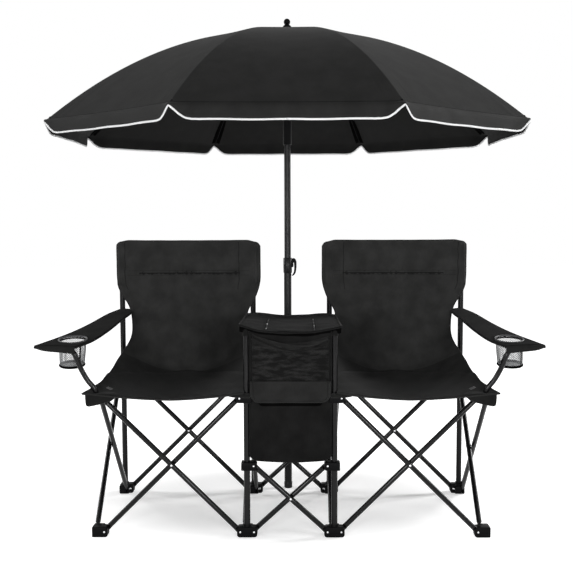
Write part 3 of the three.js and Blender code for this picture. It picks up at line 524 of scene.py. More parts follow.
# Moulded blocks: feet, hubs and sliders
across_of = {"x": Vector((0, 1, 0)), "y": Vector((1, 0, 0))}
block_half = 17 * mm
block_reach = 31 * mm
slot_half = 3.4 * mm
slot_start = 12.1 * mm
block_bevel = 3 * mm
block_rounding = 8 * mm
# How much narrower and lower each next arm is, so that no two faces lie in one plane
arm_step = 0.4 * mm
arm_drop = 0.3 * mm
rivet_radius = 3.1 * mm
rivet_height = 1.5 * mm


def heading_vector(heading):
    sign = 1 if heading[0] == "+" else -1
    return Vector((sign, 0, 0)) if heading[1] == "x" else Vector((0, sign, 0))


def box_object(low, high, bevel=0.0, segments=3, ahead=None, rounding=0.0):
    """A box; its end along ahead may be rounded above and below."""
    low, high = Vector(map(min, low, high)), Vector(map(max, low, high))
    shape = bmesh.new()
    bmesh.ops.create_cube(shape, size=1)
    for vertex in shape.verts:
        vertex.co = Vector(
            (low[axis] + (vertex.co[axis] + 0.5) * (high[axis] - low[axis])) for axis in range(3)
        )
    shape.normal_update()
    if rounding:
        far = max(vertex.co.dot(ahead) for vertex in shape.verts)
        ends = [
            edge for edge in shape.edges
            if all(far - vertex.co.dot(ahead) < 1e-6 for vertex in edge.verts)
            and abs(edge.verts[0].co.z - edge.verts[1].co.z) < 1e-6
        ]
        bmesh.ops.bevel(shape, geom=ends, offset=rounding, segments=6, profile=0.5, affect="EDGES")
    if bevel:
        shape.normal_update()
        sharp = [edge for edge in shape.edges if edge.calc_face_angle(0) > 0.7]
        bmesh.ops.bevel(shape, geom=sharp, offset=bevel, segments=segments, profile=0.5, affect="EDGES")
    data = bpy.data.meshes.new("box")
    shape.to_mesh(data)
    shape.free()
    return placed("box", data)


def combined(base, tool, operation):
    """Join or cut one mesh object with another and keep only the result."""
    modifier = base.modifiers.new("cut", "BOOLEAN")
    modifier.object = tool
    modifier.operation = operation
    modifier.solver = "EXACT"
    graph = bpy.context.evaluated_depsgraph_get()
    data = bpy.data.meshes.new_from_object(base.evaluated_get(graph))
    base.modifiers.clear()
    base.data = data
    bpy.data.objects.remove(tool)
    return base


def rod_object(start, end, radius, sides=32):
    piece = Piece("rod")
    along = Vector(end) - Vector(start)
    piece.turned(drum(radius, 0, along.length), foot_plastic, start, along, sides)
    return piece.object()


def moulded(arms, bottom, top, slot_bottom, slot_top, bore=None):
    """A foot or hub at the origin: one rounded block for each arm, slotted for its bar's end."""
    base = None
    for order, (heading, _) in enumerate(arms):
        ahead, across = heading_vector(heading), across_of[heading[1]]
        half = block_half - order * arm_step
        low = -half * ahead - half * across + Vector((0, 0, bottom + order * arm_drop))
        high = block_reach * ahead + half * across + Vector((0, 0, top - order * arm_drop))
        block = box_object(low, high, block_bevel, 3, ahead, block_rounding)
        base = combined(base, block, "UNION") if base else block
    for heading, side in arms:
        ahead, across = heading_vector(heading), across_of[heading[1]]
        centre = side * bar_offset * across
        low = centre + slot_start * ahead - slot_half * across + Vector((0, 0, slot_bottom))
        high = centre + 2 * block_reach * ahead + slot_half * across + Vector((0, 0, slot_top))
        base = combined(base, box_object(low, high), "DIFFERENCE")
    if bore:
        depth = 2 * block_reach
        rod = rod_object((0, 0, -depth), (0, 0, depth), bore)
        base = combined(base, rod, "DIFFERENCE")
    return base


def rivet_heads(piece, arms, centre):
    """Domed steel heads on both cheeks of each arm."""
    dome = [(0, -rivet_height), (rivet_radius, -rivet_height)]
    for angle in np.linspace(0, math.pi / 2, 6)[:-1]:
        dome.append((rivet_radius * math.cos(angle), rivet_height * math.sin(angle)))
    dome.append((0, rivet_height))
    for heading, _ in arms:
        ahead, across = heading_vector(heading), across_of[heading[1]]
        for end in (-1, 1):
            at = Vector(centre) + rivet_offset * ahead + end * block_half * across
            piece.turned(dome, rivet_steel, at, end * across, 14)


def shift(made, offset):
    made.data.transform(Matrix.Translation(offset))
    return made


# Rear and front legs, feet, hubs and sliders
foot_arms = {
    "rear_leg_outer_left": ("outer_left", "rear", [("+x", 1), ("-y", 1)]),
    "rear_leg_inner_left": ("inner_left", "rear", [("-x", -1), ("+x", 1), ("-y", 1)]),
    "rear_leg_inner_right": ("inner_right", "rear", [("-x", -1), ("+x", 1), ("-y", 1)]),
    "rear_leg_outer_right": ("outer_right", "rear", [("-x", -1), ("-y", 1)]),
    "front_leg_inner_left": ("inner_left", "front", [("-x", -1), ("+x", 1), ("+y", -1)]),
    "front_leg_inner_right": ("inner_right", "front", [("-x", -1), ("+x", 1), ("+y", -1)]),
    "front_foot_outer_left": ("outer_left", "front", [("+x", 1), ("+y", -1)]),
    "front_foot_outer_right": ("outer_right", "front", [("-x", -1), ("+y", -1)]),
}
foot_height = 32 * mm
foot_floor = 5.6 * mm
socket_profile = profile([(0, 8), (12, 8), (12, 36), (11, 38), (0, 38)])
post_bottom = 8 * mm
cap_radius = 10.2 * mm
cap_rise = 13 * mm


def make_feet():
    for name, (column, row, arms) in foot_arms.items():
        piece = Piece(name + "_dressed")
        centre = Vector((column_x[column], row_y[row], 0))
        block = moulded(arms, 0, foot_height, foot_floor, foot_height + 2 * mm)
        piece.mesh(shift(block, centre), foot_plastic)
        rivet_heads(piece, arms, centre + Vector((0, 0, rivet_z)))
        if "leg" in name:
            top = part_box(name)[1].z
            piece.turned(socket_profile, foot_plastic, centre)
            post_top = top - 5 * mm
            piece.turned(drum(post_radius, post_bottom, post_top), frame_paint, centre)
            cap_bottom = top - cap_rise
            dome = [
                (cap_radius * math.cos(angle) ** 0.6, cap_bottom + cap_rise * math.sin(angle))
                for angle in np.linspace(0, math.pi / 2, 8)[:-1]
            ]
            piece.turned([(0, cap_bottom), *dome, (0, top)], foot_plastic, centre)
        piece.finish(name, [name])


hub_arms = {
    "rear_hub_outer_left": ("outer_left", "rear", [("+x", -1), ("-y", -1)], hub_z),
    "rear_hub_inner_left": ("inner_left", "rear", [("-x", 1), ("-y", -1)], hub_z),
    "rear_hub_inner_right": ("inner_right", "rear", [("+x", -1), ("-y", -1)], hub_z),
    "rear_hub_outer_right": ("outer_right", "rear", [("-x", 1), ("-y", -1)], hub_z),
    "front_hub_inner_left": ("inner_left", "front", [("-x", 1), ("+y", 1)], hub_z),
    "front_hub_inner_right": ("inner_right", "front", [("+x", -1), ("+y", 1)], hub_z),
    "table_slider_left": ("inner_left", "front", [("+x", -1)], slider_z),
    "table_slider_right": ("inner_right", "front", [("-x", 1)], slider_z),
    "arm_support_left": ("outer_left", "front", [("+x", -1), ("+y", 1)], hub_z),
    "arm_support_right": ("outer_right", "front", [("-x", 1), ("+y", 1)], hub_z),
}
hub_top = 11 * mm
hub_bottom = -15 * mm
slot_roof = 9.2 * mm
bore_clearance = 0.6 * mm
# How far the strut's bends stand out and up, as shares of its reach and rise
strut_shares = [(0, 0), (0.03, 0.12), (0.37, 0.32), (0.67, 0.58), (0.9, 0.86), (1.12, 1)]
strut_out = 63 * mm
strut_lean = 16 * mm
arm_rear_z = 650 * mm
arm_front_z = 588 * mm
arm_front_reach = 30 * mm
# How far the strut starts inside its hub, and ends under the armrest
strut_sink = 2 * mm
strut_clearance = 9 * mm


def arm_z(y):
    return arm_rear_z + (arm_front_z - arm_rear_z) * (rear_y - y) / (pitch + arm_front_reach)


def make_hubs():
    for name, (column, row, arms, height) in hub_arms.items():
        piece = Piece(name + "_dressed")
        centre = Vector((column_x[column], row_y[row], height))
        strut = name.startswith("arm")
        bore = None if strut else post_radius + bore_clearance
        block = moulded(arms, hub_bottom, hub_top, hub_bottom - 2 * mm, slot_roof, bore)
        piece.mesh(shift(block, centre), foot_plastic)
        rivet_heads(piece, arms, centre)
        if strut:
            outward = hand_signs[name.split("_")[-1]]
            top = arm_z(front_y - strut_lean) - strut_clearance - height
            foot, rise = height + hub_top - strut_sink, top - hub_top
            bends = [
                (centre.x + outward * strut_out * out, centre.y - strut_lean * up, foot + rise * up)
                for out, up in strut_shares
            ]
            path = spline(bends, np.linspace(0, len(bends) - 1, 36))
            piece.tube(path, bar_radius, frame_paint, 24)
        piece.finish(name, [name])


# Frame bars, with pressed ends
flat_half = 3 * mm
end_half = 8.5 * mm
flat_length = 12 * mm
neck_length = 22 * mm
flat_power = 0.55
shank_radius = 3 * mm
bar_rivet = profile([(0, 0), (3.6, 0), (3.4, 0.8), (2.2, 1.6), (0, 1.9)])


def bar_ring(half_width, half_thickness, power, sides=24):
    """A ring round a flattened tube. The lower the power, the squarer it is."""
    angles = full_circle(sides)
    across = np.sign(np.cos(angles)) * np.abs(np.cos(angles)) ** power * half_thickness
    upward = np.sign(np.sin(angles)) * np.abs(np.sin(angles)) ** power * half_width
    return np.stack([across, upward], axis=1)


def add_bar(name, start, end, normal, crossing):
    """A tube between two rivets, its ends pressed flat across the normal."""
    start, end, normal = Vector(start), Vector(end), Vector(normal)
    length = (end - start).length
    direction = (end - start).normalized()
    half = []
    for angle in np.linspace(1.35, 0, 7):
        half.append((-end_half * math.sin(angle), end_half * math.cos(angle), flat_half, flat_power))
    half.append((flat_length, end_half, flat_half, flat_power))
    for share in np.linspace(0.15, 1, 6):
        eased = float(smooth(share))
        along = flat_length + (neck_length - flat_length) * share
        width = end_half + (bar_radius - end_half) * eased
        thick = flat_half + (bar_radius - flat_half) * eased
        half.append((along, width, thick, flat_power + (1 - flat_power) * eased))
    other = [(length - along, width, thick, power) for along, width, thick, power in reversed(half)]
    stations = half + other
    path = [start + direction * along for along, *_ in stations]
    rings = [bar_ring(width, thick, power) for _, width, thick, power in stations]
    piece = Piece(name + "_dressed")
    piece.sweep(path, rings, frame_paint, up=direction.cross(normal))
    if crossing is not None:
        centre = (start + end) / 2
        reach = 3 * bar_radius + 1.5 * mm
        crossing = Vector(crossing)
        piece.turned(drum(shank_radius, 0, reach), rivet_steel, centre, crossing, 14)
        for away, facing in ((0.4 * mm - bar_radius, -1), (reach - 0.6 * mm, 1)):
            piece.turned(bar_rivet, rivet_steel, centre + crossing * away, crossing * facing, 18)
    piece.finish(name, [name])


def make_bars():
    def corner(column, row, height=rivet_z):
        return Vector((column_x[column], row_y[row], height))

    front_normal, side_normal = Vector((0, 1, 0)), Vector((1, 0, 0))
    forward = Vector((0, -rivet_offset, 0))
    aside = bar_offset * side_normal
    for hand, sign in hand_signs.items():
        inner, outer = "inner_" + hand, "outer_" + hand
        outward = Vector((sign * rivet_offset, 0, 0))
        offset = sign * bar_offset * front_normal
        for row in ("rear", "front"):
            start, end = corner(inner, row) + outward, corner(outer, row, hub_z) - outward
            add_bar(f"{row}_bar_{hand}_a", start + offset, end + offset, front_normal, -sign * front_normal)
            start, end = corner(outer, row) - outward, corner(inner, row, hub_z) + outward
            add_bar(f"{row}_bar_{hand}_b", start - offset, end - offset, front_normal, None)
        for column in (inner, outer):
            name = column.replace("_", "_side_bar_")
            start, end = corner(column, "rear") + forward, corner(column, "front", hub_z) - forward
            add_bar(name + "_a", start + aside, end + aside, side_normal, -side_normal)
            start, end = corner(column, "front") - forward, corner(column, "rear", hub_z) + forward
            add_bar(name + "_b", start - aside, end - aside, side_normal, None)
    inward = Vector((rivet_offset, 0, 0))
    offset = bar_offset * front_normal
    rise = Vector((0, 0, slider_z - rivet_z))
    left, right = corner("inner_left", "front") + inward, corner("inner_right", "front") - inward
    add_bar("centre_front_bar_a", left + offset, right + rise + offset, front_normal, -front_normal)
    add_bar("centre_front_bar_b", right - offset, left + rise - offset, front_normal, None)
    top = Vector((middle_x, rear_y, bracket_z))
    left, right = corner("inner_left", "rear") + inward, corner("inner_right", "rear") - inward
    add_bar("centre_rear_bar_left", left + offset, top + offset, front_normal, None)
    add_bar("centre_rear_bar_right", right - offset, top - offset, front_normal, None)


# Seat slings. The shares are of half the pitch outward, the pitch forward and the back's rise.
sling_edge_shares = [
    (1.079, 0, 1), (1.079, 0, 0.86), (1.075, 0, 0.7), (1.0, 0.002, 0.6), (0.915, 0.01, 0.537),
    (0.853, 0.025, 0.463), (0.823, 0.06, 0.357), (0.827, 0.11, 0.289), (0.86, 0.18, 0.239),
    (0.9, 0.28, 0.2), (0.945, 0.45, 0.14), (0.98, 0.68, 0.095), (1.045, 0.87, 0.064),
    (1.172, 1.02, 0.037),
]
sling_inner_shares = [
    1.108, 1.108, 1.106, 1.052, 0.985, 0.915, 0.915, 0.925, 0.935, 0.945, 0.955, 0.962, 0.962, 0.962,
]
sling_middle_shares = [
    (0, 0.996), (-0.01, 0.86), (-0.02, 0.7), (-0.03, 0.6), (-0.035, 0.52), (-0.04, 0.42),
    (-0.04, 0.31), (-0.035, 0.2), (-0.015, 0.1), (0.03, 0.025), (0.2, -0.03), (0.5, -0.05),
    (0.8, -0.034), (1.035, 0),
]
back_top = 889 * mm
sling_front = rear_y - 12.1 * mm
seam_z = 781 * mm
foot_z = 440 * mm
back_rows = 9.0
tack_v = 11.95
# Where painted shade marks the seams of the sleeves, across the back
sleeve_seams = (-0.71, 0.88)
stitch_rows = (-6 * mm, 7 * mm)
stitch_radius = 0.45 * mm
last_row = len(sling_edge_shares) - 1.0
sleeve_turn = 11 * mm
post_relief = 3 * mm
panel_cloth = 2 * mm
binding_radius = 1.9 * mm
hem_radius = 2.4 * mm
# The turned-in cloth under the seat's hem: how far behind it and below it
hem_rows = [(0.5, -1), (3, -4), (14, -5)]


def sling_surface(hand):
    """The sitter's side of a sling. u runs from the inner to the outer edge, v from top to front."""
    outward = hand_signs[hand]
    middle = (column_x["inner_" + hand] + column_x["outer_" + hand]) / 2
    half, rise = pitch / 2, back_top - hub_z

    def surface(u, v):
        width, forward, high = np.moveaxis(spline(sling_edge_shares, v), -1, 0)
        middle_forward, middle_high = np.moveaxis(spline(sling_middle_shares, v), -1, 0)
        power = 2.6 + (1.5 - 2.6) * np.clip(forward, 0, 1)
        bend = np.abs(u) ** power
        reach = np.where(u > 0, width - 0.006, table_spline(sling_inner_shares, v))
        x = u * half * reach
        y = sling_front - pitch * (middle_forward + (forward - middle_forward) * bend)
        z = hub_z + rise * (middle_high + (high - middle_high) * bend)
        # the fabric turns back round the posts beside the top of the back
        sleeve = smooth((z - 0.735) / 0.02) * smooth((np.abs(x) - (half - 0.006)) / 0.022)
        y = y + sleeve * sleeve_turn
        # the panel passes in front of the posts where it leaves their sleeves
        y = y - post_relief * hill(np.abs(x), half, 0.014) * hill(z, 0.734, 0.02)
        # the top edge is a little high in the middle and round at its corners
        slope = smooth((np.abs(u) - 0.82) / 0.13) * np.where(u > 0, 5, 7) * mm
        corner = slope + np.clip((np.abs(u) - 0.92) / 0.08, 0, 1) ** 3 * np.where(u > 0, 10, 13) * mm
        z = z + (3.5 * mm - corner) * np.clip(1 - v / 0.75, 0, 1)
        return wrinkled(x, y, z, u, v, outward, middle)

    return surface


def hill(value, middle, width):
    """A smooth bump: 1 at its middle, and nearly 0 two widths away."""
    return np.exp(-(((value - middle) / width) ** 2))


def wrinkled(x, y, z, u, v, outward, middle):
    """Soft folds: drawn lines across the back, a stitched band at its top and creases at its foot."""
    lean = smooth((v - 7.2) / 2.5)
    across = np.abs(x)
    fold = 2.6 * mm * np.sin(38 * (z + 0.55 * across) + 2.0 * np.sin(7 * x))
    fold = fold * smooth((0.86 - z) / 0.1) * hill(across, 0.13, 0.07)
    drape = 2.2 * mm * np.sin(55 * (x * 0.8 - z) + 3 * np.sin(9 * z + 4 * x)) * hill(z, 0.6, 0.13)
    ripple = 1.4 * mm * np.sin(70 * x + 5 * np.sin(21 * z)) * smooth((z - 0.79) / 0.03)
    seam = -2.6 * mm * hill(z, seam_z, 0.006) * smooth((0.19 - across) / 0.03)
    pucker = 1.6 * mm * np.sin(150 * x + 3 * np.sin(31 * x)) * hill(z, seam_z, 0.02)
    pucker = pucker * smooth((0.2 - across) / 0.04)
    # creases that run up from the middle of the seam between back and seat
    reach = np.hypot(x, z - foot_z)
    spread = 3.4 * mm * np.sin(8 * np.arctan2(x + 0.012, z - foot_z + 0.02)) * hill(reach, 0.07, 0.055)
    crease = 3.2 * mm * np.sin(30 * across + 2.2) * hill(v, 9.0, 0.9) * smooth((0.2 - across) / 0.08)
    groove = -2.5 * mm * hill(v, foot_row(u), 0.16)
    radial = 2.2 * mm * np.sin(16 * u + 5 * v) * smooth((v - 8.8) / 1.5) * smooth((12.6 - v) / 1.5)
    edge = 1.5 * mm * np.sin(2.6 * v) * np.abs(u) ** 8
    y = y - (fold + drape + ripple + seam + pucker + spread + edge) * (1 - lean)
    z = z + crease + groove + radial * (0.3 + 0.7 * np.abs(u))
    return xyz(middle + outward * x, y, z)


def foot_row(u):
    """Where the seam between back and seat runs."""
    return 9.02 + 1.6 * u**2


def surface_normals(surface, u, v, flip, step=1e-3):
    """The way a surface faces, from its slopes, so it matches on neighbouring pieces."""
    across = surface(u + step, v) - surface(u - step, v)
    along = surface(u, v + step) - surface(u, v - step)
    return unit(np.cross(across, along)) * (-1 if flip else 1)


def surface_grid(surface, us, vs, flip):
    """Points and normals of a surface on a grid."""
    v, u = np.meshgrid(vs, us, indexing="ij")
    points, normals = surface(u, v), surface_normals(surface, u, v, flip)
    if flip:
        return points[:, ::-1], normals[:, ::-1]
    return points, normals


def seam_shade_strip(piece, surface, first, second, flip, material, lengthways=False):
    """A narrow darker strip on a surface, between two lines given as (u, v) pairs: painted shade along a
    seam.
    """
    shares = np.linspace(0, 1, 4)[:, None]
    u, v = (low + (high - low) * shares for low, high in zip(first, second))
    normals = surface_normals(surface, u, v, flip)
    points = surface(u, v) + normals * 0.35 * mm
    if flip != lengthways:
        points, normals = points[:, ::-1], normals[:, ::-1]
    piece.grid(points, material, 0.3 * mm, normals)


def make_sling(hand):
    surface = sling_surface(hand)
    flip = hand == "right"
    inner = "inner_" + hand
    across = np.linspace(-1, 1, 81)

    back = Piece("back_panel_" + hand)
    rows = np.linspace(0, back_rows, 91)
    points, normals = surface_grid(surface, across, rows, flip)
    back.grid(points, back_cloth, panel_cloth, normals)
    edges = points - normals * panel_cloth / 2
    for side in (0, -1):
        back.tube(edges[:, side], binding_radius, binding_cloth, 8)
    back.tube(edges[0], 2.1 * mm, binding_cloth, 8)
    middle_z = points[:, len(across) // 2, 2]
    for offset in stitch_rows:
        row = np.argmin(np.abs(middle_z - (seam_z + offset)))
        stitches = points[row, 6:-6] + normals[row, 6:-6] * 0.1 * mm
        back.tube(stitches, stitch_radius, dark_cloth, 6)
    # painted shade: darker strips along the puckered seam, and along the seams of the sleeves for the posts
    us = np.linspace(-0.72, 0.68, 90)
    middle_v = float(rows[np.argmin(np.abs(middle_z - seam_z))])
    width = 0.055 + 0.02 * np.sin(47 * us + 4 * np.sin(9 * us)) + 0.018 * np.sin(103 * us + 1)
    seam_shade_strip(back, surface, (us, middle_v - width), (us, middle_v + width), flip, boot_cloth)
    vs = np.linspace(0.12, 2.6, 50)
    for u in sleeve_seams:
        wave = 0.003 * np.sin(9 * vs)
        seam_shade_strip(back, surface, (u - 0.004 + wave, vs), (u + 0.004 + wave, vs), flip, boot_cloth, True)
    made = back.finish("rear_leg_" + inner, ["seat_sling_" + hand])
    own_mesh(made)

    rows = np.linspace(back_rows, last_row, 61)
    for half, us, body in (
        ("inner", across[:41], "rear_bar_" + hand + "_b"),
        ("outer", across[40:], "rear_bar_" + hand + "_a"),
    ):
        seat = Piece(f"seat_{half}_{hand}")
        points, normals = surface_grid(surface, us, rows, flip)
        seat.grid(points, seat_cloth, panel_cloth, normals)
        side = 0 if (half == "inner") != flip else -1
        seat.tube(points[:, side] - normals[:, side] * panel_cloth / 2, binding_radius, binding_cloth, 8)
        hem = points[-1] - normals[-1] * 1.4 * mm
        seat.tube(hem, hem_radius, binding_cloth, 8)
        drop = [hem + np.array((0, behind, down)) * mm for behind, down in hem_rows]
        seat.grid(np.array(drop), seat_cloth, 1 * mm)
        stitches = points[-4] + normals[-4] * 0.2 * mm
        seat.tube(stitches, 0.5 * mm, dark_cloth, 6)
        # a dark strip on the seam between back and seat: the seam's dark line, and painted shade in its
        # crease
        seam_us = np.linspace(-0.9, 0, 40) if half == "inner" else np.linspace(0, 0.62, 30)
        seam_v = foot_row(seam_us)
        seam_shade_strip(seat, surface, (seam_us, seam_v - 0.03), (seam_us, seam_v + 0.035), flip, dark_cloth)
        if half == "outer":
            for row in range(3):
                us = np.linspace(0.79, 0.87, 12)
                vs = tack_v + 0.07 * row - 1.6 * (us - 0.83)
                seat.tube(surface(us, vs) + (0, 0, 1.2 * mm), 0.55 * mm, tack_cloth, 6)
        made = seat.finish(body)
        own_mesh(made)


# A sleeve's heights, and its size at each as a share
sleeve_rows = [
    (0.742, 1.0), (0.745, 1.02), (0.78, 1.03), (0.82, 1.0),
    (0.86, 1.02), (0.872, 0.98), (0.879, 0.86), (0.8835, 0.6),
]
sleeve_top = [(0, 0.8828), (8.6 * mm, 0.8833), (6.5 * mm, 0.8852), (0, 0.886)]
sleeve_squareness = 0.75


def make_sleeves():
    """The pockets that hold the tops of the rear posts, seen from behind."""
    ring = bar_ring(11 * mm, 14.5 * mm, sleeve_squareness, 28)
    for column, x in column_x.items():
        piece = Piece("post_sleeve_" + column)
        rings = []
        for height, size in sleeve_rows:
            rings.append(xyz(x + ring[:, 0] * size, rear_y + ring[:, 1] * size, height))
        piece.grid(np.array(rings), back_cloth, 1.2 * mm, wrap=True)
        piece.turned(sleeve_top, back_cloth, (x, rear_y, 0), sides=20)
        piece.tube(rings[0], 0.8 * mm, binding_cloth, 8, closed=True)
        piece.finish("rear_leg_" + column)


# The pocket's outline, seen from the front: outward from the column, and height
boot_outline = [
    (-66, 437), (-58, 429), (-46, 421), (-18, 413), (10, 407), (17, 405.8), (23, 407), (26, 411),
    (27.4, 422), (28, 436), (27, 441), (20, 443), (-20, 444), (-50, 443),
]
inner_pocket_outline = [
    (-62, 440), (-46, 434.5), (-20, 432), (6, 431.5), (11, 433), (12.5, 437), (11, 442),
    (-20, 443.5), (-50, 443),
]
# Its layers from front to rear: their place behind the front corner, and their size as a share
boot_layers = [(-25, 0.55), (-23, 0.9), (-20, 0.985), (-15, 1), (15, 1), (19, 0.96), (20, 0.6)]


def make_corner_boots():
    """The pockets under the front corners of a seat, over the hubs."""
    places = [
        (hand, sign * turn, column, outline, body)
        for hand, sign in hand_signs.items()
        for turn, column, outline, body in (
            (1, "outer_", boot_outline, "arm_support_"),
            (-1, "inner_", inner_pocket_outline, "front_hub_inner_"),
        )
    ]
    for hand, sign, column, outline, body in places:
        x = column_x[column + hand]
        piece = Piece("corner_boot_" + column + hand)
        ring = spline(outline + outline[:1], np.linspace(0, len(outline), 57)[:-1]) * mm
        middle = np.array((0, ring[:, 1].mean()))
        layers = []
        for behind, size in boot_layers:
            shrunk = middle + (ring - middle) * size
            layers.append(xyz(x + sign * shrunk[:, 0], front_y + behind * mm, shrunk[:, 1]))
        layers = np.array(layers) if sign < 0 else np.array(layers)[:, ::-1]
        piece.sheets(layers, boot_cloth)
        piece.tube(layers[2] + (0, -0.4 * mm, 0), 1.1 * mm, binding_cloth, 6, closed=True)
        piece.finish(body + hand)


# Armrests
arm_outer_shares = [(0.07, 0), (0.23, 0.14), (0.43, 0.4), (0.69, 0.72), (0.89, 0.9), (1, 0.98)]
arm_inner_shares = [(-0.17, 0), (-0.205, 0.1), (-0.13, 0.3), (-0.035, 0.6), (0.1, 0.85), (0.3, 1)]
lip_drops = [19, 18, 17, 15.5, 12, 4]
arm_tip_widths = {"left": 178 * mm, "right": 170 * mm}
cup_inset = 76 * mm
cup_forward = 39 * mm
cup_radius = 44 * mm
cup_bottom_radius = 36.6 * mm
cup_depth = 82 * mm
cup_hole = 41 * mm
arm_cloth_thickness = 3.4 * mm
arm_loop_radius = 12.5 * mm
arm_loop_heights = (0.632, 0.64, 0.647, 0.6525)


def make_armrest(hand):
    sign = hand_signs[hand]
    x = column_x["outer_" + hand]
    cup = np.array((x + sign * cup_inset, front_y + cup_forward))
    rows, count = 70, 33
    along = np.linspace(0, 5, rows)
    outer, inner = spline(arm_outer_shares, along), spline(arm_inner_shares, along)
    share = np.linspace(0, 1, count)[None, :, None]
    plan = inner[:, None] * (1 - share) + outer[:, None] * share
    px = x + sign * plan[..., 0] * arm_tip_widths[hand]
    py = rear_y - plan[..., 1] * (pitch + arm_front_reach)
    crown = 2.5 * mm * np.sin(math.pi * share[..., 0]) ** 0.7
    sag = 5 * mm * share[..., 0] * np.sin(math.pi * np.clip((rear_y - py) / pitch, 0, 1)) ** 2
    pz = arm_z(py) + crown - sag - 1.5 * mm
    away = np.hypot(px - cup[0], py - cup[1])
    pull = np.clip((cup_hole + 9 * mm - away) / (9 * mm), 0, 1)
    push = np.where(away < cup_hole, cup_hole / np.maximum(away, 1e-6), 1.0)
    px = cup[0] + (px - cup[0]) * push
    py = cup[1] + (py - cup[1]) * push
    pz = pz + pull * 1.5 * mm
    points = xyz(px, py, pz)
    inside = away < cup_hole
    keep = ~(inside[:-1, :-1] & inside[1:, :-1] & inside[:-1, 1:] & inside[1:, 1:])
    if sign > 0:
        points, keep = points[:, ::-1], keep[:, ::-1]
    piece = Piece("armrest_strap_" + hand)
    piece.grid(points[:, ::-1], arm_cloth, arm_cloth_thickness, keep=keep[:, ::-1])
    border = np.concatenate([points[::-1, 0], points[0, 1:-1], points[:, -1]])
    piece.tube(border - (0, 0, arm_cloth_thickness / 2), 2.2 * mm, lip_cloth, 10)
    # the front edge is turned down over the end of the strut
    front = points[-1]
    drops = table_spline(lip_drops, np.linspace(0, len(lip_drops) - 1, count)) * mm
    if sign > 0:
        drops = drops[::-1]
    lip = [
        front + xyz(0, -5 * mm * math.sin(turn), -drops * (1 - math.cos(turn)))
        for turn in np.linspace(0, math.pi / 2, 8)
    ]
    piece.grid(np.array(lip)[:, ::-1], lip_cloth, 2 * mm)
    piece.tube(lip[-1], 1.3 * mm, lip_cloth, 8)
    # the loop round the rear post
    loop = level_rings(x, rear_y, arm_loop_radius, arm_loop_heights, 24)
    piece.grid(loop, arm_cloth, 1.8 * mm, wrap=True)
    made = piece.finish("arm_support_" + hand, ["armrest_" + hand])
    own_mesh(made)


# The net of a cup's basket
net_radius = 0.58 * mm
net_strands = 44
net_turns = 0.28
net_steps = 13
floor_step = 4.4 * mm
basket_lean = 6 * mm / cup_depth
strip_angle = -0.75


def make_cup(hand):
    """A ring that hangs in the armrest, with a knitted net basket below it."""
    sign = hand_signs[hand]
    tilt = math.atan2(arm_rear_z - arm_front_z, pitch + arm_front_reach)
    y = front_y + cup_forward
    place = Matrix.Translation((column_x["outer_" + hand] + sign * cup_inset, y, arm_z(y) + 3.5 * mm))
    place = place @ Matrix.Rotation(tilt, 4, "X")
    piece = Piece("cup_basket_" + hand)

    def at(radius, angle, height):
        swing = -sign * basket_lean * height
        return tuple(place @ Vector((radius * math.cos(angle) + swing, radius * math.sin(angle), height)))

    def ring(radius, height):
        return [at(radius, angle, height) for angle in full_circle(56)]

    def radius_at(depth):
        share = depth / cup_depth
        top = cup_radius - 4 * mm
        return top + (cup_bottom_radius - top) * share + 1.2 * mm * math.sin(math.pi * share)

    for radius, height, thickness, look, sides in (
        (cup_radius - 1.6 * mm, 0.4 * mm, 3 * mm, ring_plastic, 12),
        (cup_radius - 3 * mm, -5 * mm, 2.4 * mm, dark_cloth, 10),
        (cup_bottom_radius - 0.5 * mm, 3.5 * mm - cup_depth, 4.2 * mm, shade_cloth, 10),
    ):
        piece.tube(ring(radius, height), thickness, look, sides, closed=True)
    # strands that wind down both ways
    for winding in (-net_turns, net_turns):
        for start in full_circle(net_strands):
            path = []
            for share in np.linspace(0, 1, net_steps):
                depth = 4 * mm + (cup_depth - 6 * mm) * share
                path.append(at(radius_at(depth), start + winding * 2 * math.pi * share, -depth))
            piece.tube(path, net_radius, net_cloth, 4)
    # the net floor
    bottom = Vector((sign * basket_lean * cup_depth, 0, 1.5 * mm - cup_depth))
    for quarter in (0, math.pi / 2):
        turn = Matrix.Rotation(quarter, 4, "Z")
        for line in range(-8, 9):
            offset = line * floor_step
            reach = math.sqrt(max(cup_bottom_radius**2 - offset**2, 0))
            path = [tuple(place @ (turn @ Vector((end, offset, 0)) + bottom)) for end in (-reach, reach)]
            piece.tube(path, net_radius, net_cloth, 4)
    # the seam strip
    strip = []
    for depth in np.linspace(2 * mm, cup_depth - 2 * mm, 8):
        radius = radius_at(depth) + 0.6 * mm
        strip.append([at(radius, strip_angle + away, -depth) for away in np.linspace(-0.07, 0.07, 5)])
    piece.grid(np.array(strip)[:, ::-1], dark_cloth, 1 * mm)
    piece.finish("arm_support_" + hand, ["cup_holder_" + hand])


# Table and cooler bag
table_half = 153 * mm
table_front = front_y - 17.5 * mm
table_rear = rear_y - 9.8 * mm
table_front_z = 648 * mm
table_rear_z = 637 * mm
lid_half = 72 * mm
lid_front = table_front + 13 * mm
lid_rear = lid_front + 280 * mm
bag_bottom = 234 * mm
bag_half = 113.8 * mm
bag_front = front_y - post_radius
bag_rear = bag_front + 300 * mm
bag_corner = 14 * mm
bag_step = 9 * mm
bag_wall = 3 * mm
lining_wall = 0.8 * mm
bag_tuck_share = 0.03
